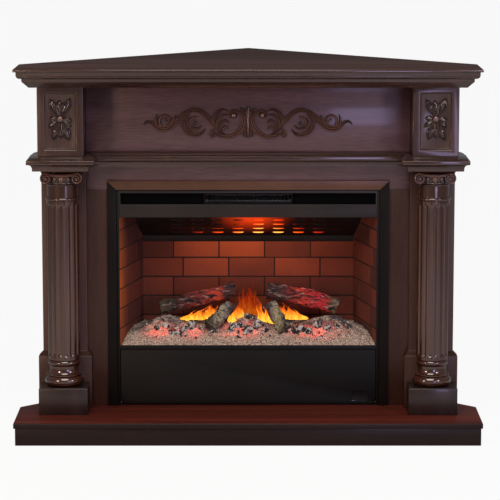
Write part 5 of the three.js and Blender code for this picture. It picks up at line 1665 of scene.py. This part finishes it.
@dataclass
class Logs:
    """Four burnt logs with rough bark."""

    finishes: tuple[tuple[str, str], ...] = (
        ("log_left", "bark_left"), ("log_right", "bark_right"),
        ("log_front_left", "bark_lean_left"), ("log_front_right", "bark_lean_right"),
    )
    grains: tuple[tuple[str, float, float], ...] = (
        ("CLOUDS", 0.03, 9 * MM), ("CLOUDS", 0.01, 6 * MM), ("VORONOI", 0.008, 4 * MM),
    )

    def build(self, palette: Palette) -> None:
        """Models each log from its CAD solid."""
        for node, finish in self.finishes:
            rough = divided_copy(f"{node}_bark", node, 7)
            roughen(rough, self.grains, 0.6)
            settle(rough, 50)
            stand_for(rough, node, palette[finish])


@dataclass
class Flames:
    """Tongues of flame between the logs: low and yellow at the sides, tall and red in the middle."""

    low: tuple[tuple[float, ...], ...] = (
        (-168, -66, 262, 16, 26, 34), (-154, -70, 260, 20, 34, 44), (-140, -64, 262, 20, 42, 42),
        (-124, -68, 262, 20, 46, 34), (-108, -64, 264, 20, 50, 24), (-92, -66, 266, 18, 46, 18),
        (-44, -84, 246, 22, 58, 14), (-34, -80, 248, 20, 66, 12), (-22, -76, 252, 14, 60, 6),
        (56, -84, 246, 22, 56, -18), (44, -80, 248, 20, 66, -16), (32, -76, 252, 14, 56, -10),
        (84, -64, 264, 20, 56, -6), (100, -66, 264, 20, 50, -14), (116, -62, 262, 20, 46, -24),
        (132, -66, 262, 18, 38, -30), (148, -62, 262, 16, 28, -34),
    )
    tall: tuple[tuple[float, ...], ...] = (
        (-26, -50, 262, 18, 70, 6), (-12, -50, 262, 20, 96, 3), (2, -44, 262, 24, 112, 2),
        (12, -56, 262, 20, 100, 2), (26, -50, 262, 18, 76, -4), (4, -40, 262, 30, 84, 0),
    )
    bulge: float = 0.6
    sway: float = 3.5
    thinness: float = 0.2

    def tongue(
        self, x: float, y: float, foot: float, width: float, height: float, lean: float
    ) -> bpy.types.Object:
        """One tongue: a cone drawn thin from front to back, swollen low down and bent along its height.

        Args:
            x: Place across, in millimetres.
            y: Place from front to back.
            foot: Height of its foot.
            width: Width at the foot.
            height: Its height.
            lean: How far its tip leans to the right.

        Returns:
            The tongue.
        """
        bpy.ops.mesh.primitive_cone_add(
            vertices=16, radius1=width / 2 * MM, radius2=0.5 * MM, depth=height * MM,
            location=(x * MM, y * MM, (foot + height / 2) * MM),
        )
        tongue = fixed(bpy.context.object)
        with editing(tongue, "EDGE"):
            pick_long_edges(tongue, 2, height * MM * 0.5)
            bpy.ops.mesh.subdivide(number_cuts=7)
            bpy.ops.mesh.select_mode(type="VERT")
            for i in range(1, 9):
                z = (foot + height * i / 8) * MM
                swell = 1 + self.bulge * math.sin(math.pi * min(1.0, i / 5))
                squeeze(tongue, lambda p, z=z: abs(p.z - z) < 1 * MM, (swell, 1, 1), (x * MM, y * MM, z))
                sway = (self.sway * math.sin(i * 1.1 + x * 0.13) + lean * (i / 8) ** 1.4) * MM
                bpy.ops.transform.translate(value=(sway, 0, 0))
            bpy.ops.mesh.select_all(action="SELECT")
            bpy.ops.transform.resize(value=(1, self.thinness, 1), center_override=(x * MM, y * MM, 0))
        return settle(tongue, 60)

    def build(self, palette: Palette) -> None:
        """Models every tongue, in two groups that share a finish each."""
        for finish, tongues in (("low_flame", self.low), ("tall_flame", self.tall)):
            made = [self.tongue(*sizes) for sizes in tongues]
            add_detail(joined(f"{finish}s", *made), "ember_bed", palette[finish])


# ------------------------------------------------------------------ studio


@dataclass
class Studio:
    """Floor, sky, lamps and camera."""

    camera_distance: float = 6.0
    camera_height: float = 1.4227
    camera_shift_x: float = 0.0048
    pitch: float = 8.816
    focal_pixels: float = 2441.6
    picture_pixels: float = 500.0
    floor_size: float = 60.0
    floor_tint: Colour = (0.7, 0.68, 0.66)
    floor_white: float = 0.93
    sky_tint: Colour = (0.95, 0.96, 1.0)
    sky_strength: float = 0.2
    aim: tuple[float, float, float] = (0, 0, 0.5)
    lamps: tuple[tuple[str, tuple[float, float, float], float, float, Colour], ...] = (
        ("key", (-0.2, -2.4, 2.9), 2.0, 78, (1.0, 0.96, 0.92)),
        ("warm_side", (-1.9, -2.2, 0.9), 0.4, 18, (1.0, 0.72, 0.58)),
        ("cool_side", (1.9, -2.2, 1.1), 0.5, 13, (0.9, 0.82, 1.0)),
        ("violet_sheen", (1.15, -3.0, 0.55), 0.6, 9, (0.56, 0.52, 1.0)),
    )

    def camera(self) -> None:
        """The camera of the photograph: level sideways and looking slightly down."""
        data = bpy.data.cameras.new("camera")
        data.sensor_width = 36.0
        data.lens = self.focal_pixels / self.picture_pixels * data.sensor_width
        data.clip_end = 100.0
        camera = bpy.data.objects.new("camera", data)
        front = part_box("mantel_shelf")[0].y
        camera.location = (self.camera_shift_x, front - self.camera_distance, self.camera_height)
        camera.rotation_euler = (math.radians(90 - self.pitch), 0, 0)
        bpy.context.scene.collection.objects.link(camera)
        bpy.context.scene.camera = camera

    def floor(self) -> None:
        """A wide pale floor that shows white to the camera and keeps the object's shadow."""
        bpy.ops.mesh.primitive_plane_add(size=self.floor_size, location=(0, 0, -0.5 * MM))
        floor = bpy.context.object
        floor.name = "floor"
        shader = Shader("floor", 0.9)
        shader.set(Base_Color=(*self.floor_tint, 1), Specular_IOR_Level=0.0)
        white = shader.tree.nodes.new("ShaderNodeEmission")
        white.inputs["Strength"].default_value = 1.0
        # 1 where the camera or glass sees the floor, 0 for the light that it gives
        rays = shader.tree.nodes.new("ShaderNodeLightPath").outputs
        seen = shader.maths("MAXIMUM", rays["Is Camera Ray"], rays["Is Transmission Ray"])
        share = shader.maths("MULTIPLY", seen, self.floor_white)
        self.mixed(shader.tree, share, shader.surface, white, shader.output)
        dress(floor, shader.material)

    def mixed(
        self, tree: bpy.types.NodeTree, share: bpy.types.NodeSocket, lit: bpy.types.Node,
        white: bpy.types.Node, output: bpy.types.Node,
    ) -> None:
        """Feeds an output with two shaders.

        Args:
            tree: The tree that they are in.
            share: How much of the second there is.
            lit: The first shader, that light falls on.
            white: The second shader.
            output: The output node.
        """
        mix = tree.nodes.new("ShaderNodeMixShader")
        tree.links.new(share, mix.inputs["Fac"])
        tree.links.new(lit.outputs[0], mix.inputs[1])
        tree.links.new(white.outputs[0], mix.inputs[2])
        tree.links.new(mix.outputs["Shader"], output.inputs["Surface"])

    def world(self) -> None:
        """A plain dim sky that lights the object, and a white one where the camera sees it."""
        world = bpy.data.worlds.new("sky")
        world.use_nodes = True
        tree = world.node_tree
        plain = tree.nodes["Background"]
        plain.inputs["Color"].default_value = (*self.sky_tint, 1)
        plain.inputs["Strength"].default_value = self.sky_strength
        white = tree.nodes.new("ShaderNodeBackground")
        white.inputs["Color"].default_value = (1, 1, 1, 1)
        white.inputs["Strength"].default_value = 1.0
        rays = tree.nodes.new("ShaderNodeLightPath")
        self.mixed(tree, rays.outputs["Is Camera Ray"], plain, white, tree.nodes["World Output"])
        bpy.context.scene.world = world

    def lamp(
        self, name: str, place: tuple[float, float, float], size: float, power: float, tint: Colour
    ) -> None:
        """A soft square lamp aimed at the fireplace.

        Args:
            name: Name of the lamp.
            place: Where it stands.
            size: Its width in metres.
            power: Its power in watts.
            tint: Colour of its light.
        """
        data = bpy.data.lights.new(name, "AREA")
        data.size = size
        data.energy = power
        data.color = tint
        lamp = bpy.data.objects.new(name, data)
        lamp.location = place
        aim = Vector(self.aim) - Vector(place)
        lamp.rotation_euler = aim.to_track_quat("-Z", "Y").to_euler()
        bpy.context.scene.collection.objects.link(lamp)

    def build(self) -> None:
        """Sets up the whole studio."""
        self.camera()
        self.floor()
        self.world()
        for lamp in self.lamps:
            self.lamp(*lamp)
        bpy.context.scene.view_settings.view_transform = "Standard"


# ------------------------------------------------------------------ main


def main() -> None:
    """Builds the fireplace piece by piece, then the studio."""
    logging.basicConfig(level=logging.INFO, format="%(name)s: %(message)s")
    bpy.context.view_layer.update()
    Studio().build()
    palette = Palette()
    palette.build()
    Boards().build(palette)
    for side in Side:
        Column(side).build(palette)
        Capital(side).build(palette)
        Rosette(side).build(palette)
    for part in (FriezeCarving(), InsertCase(), EmberBed(), Logs(), Flames()):
        part.build(palette)


if __name__ == "__main__":
    main()
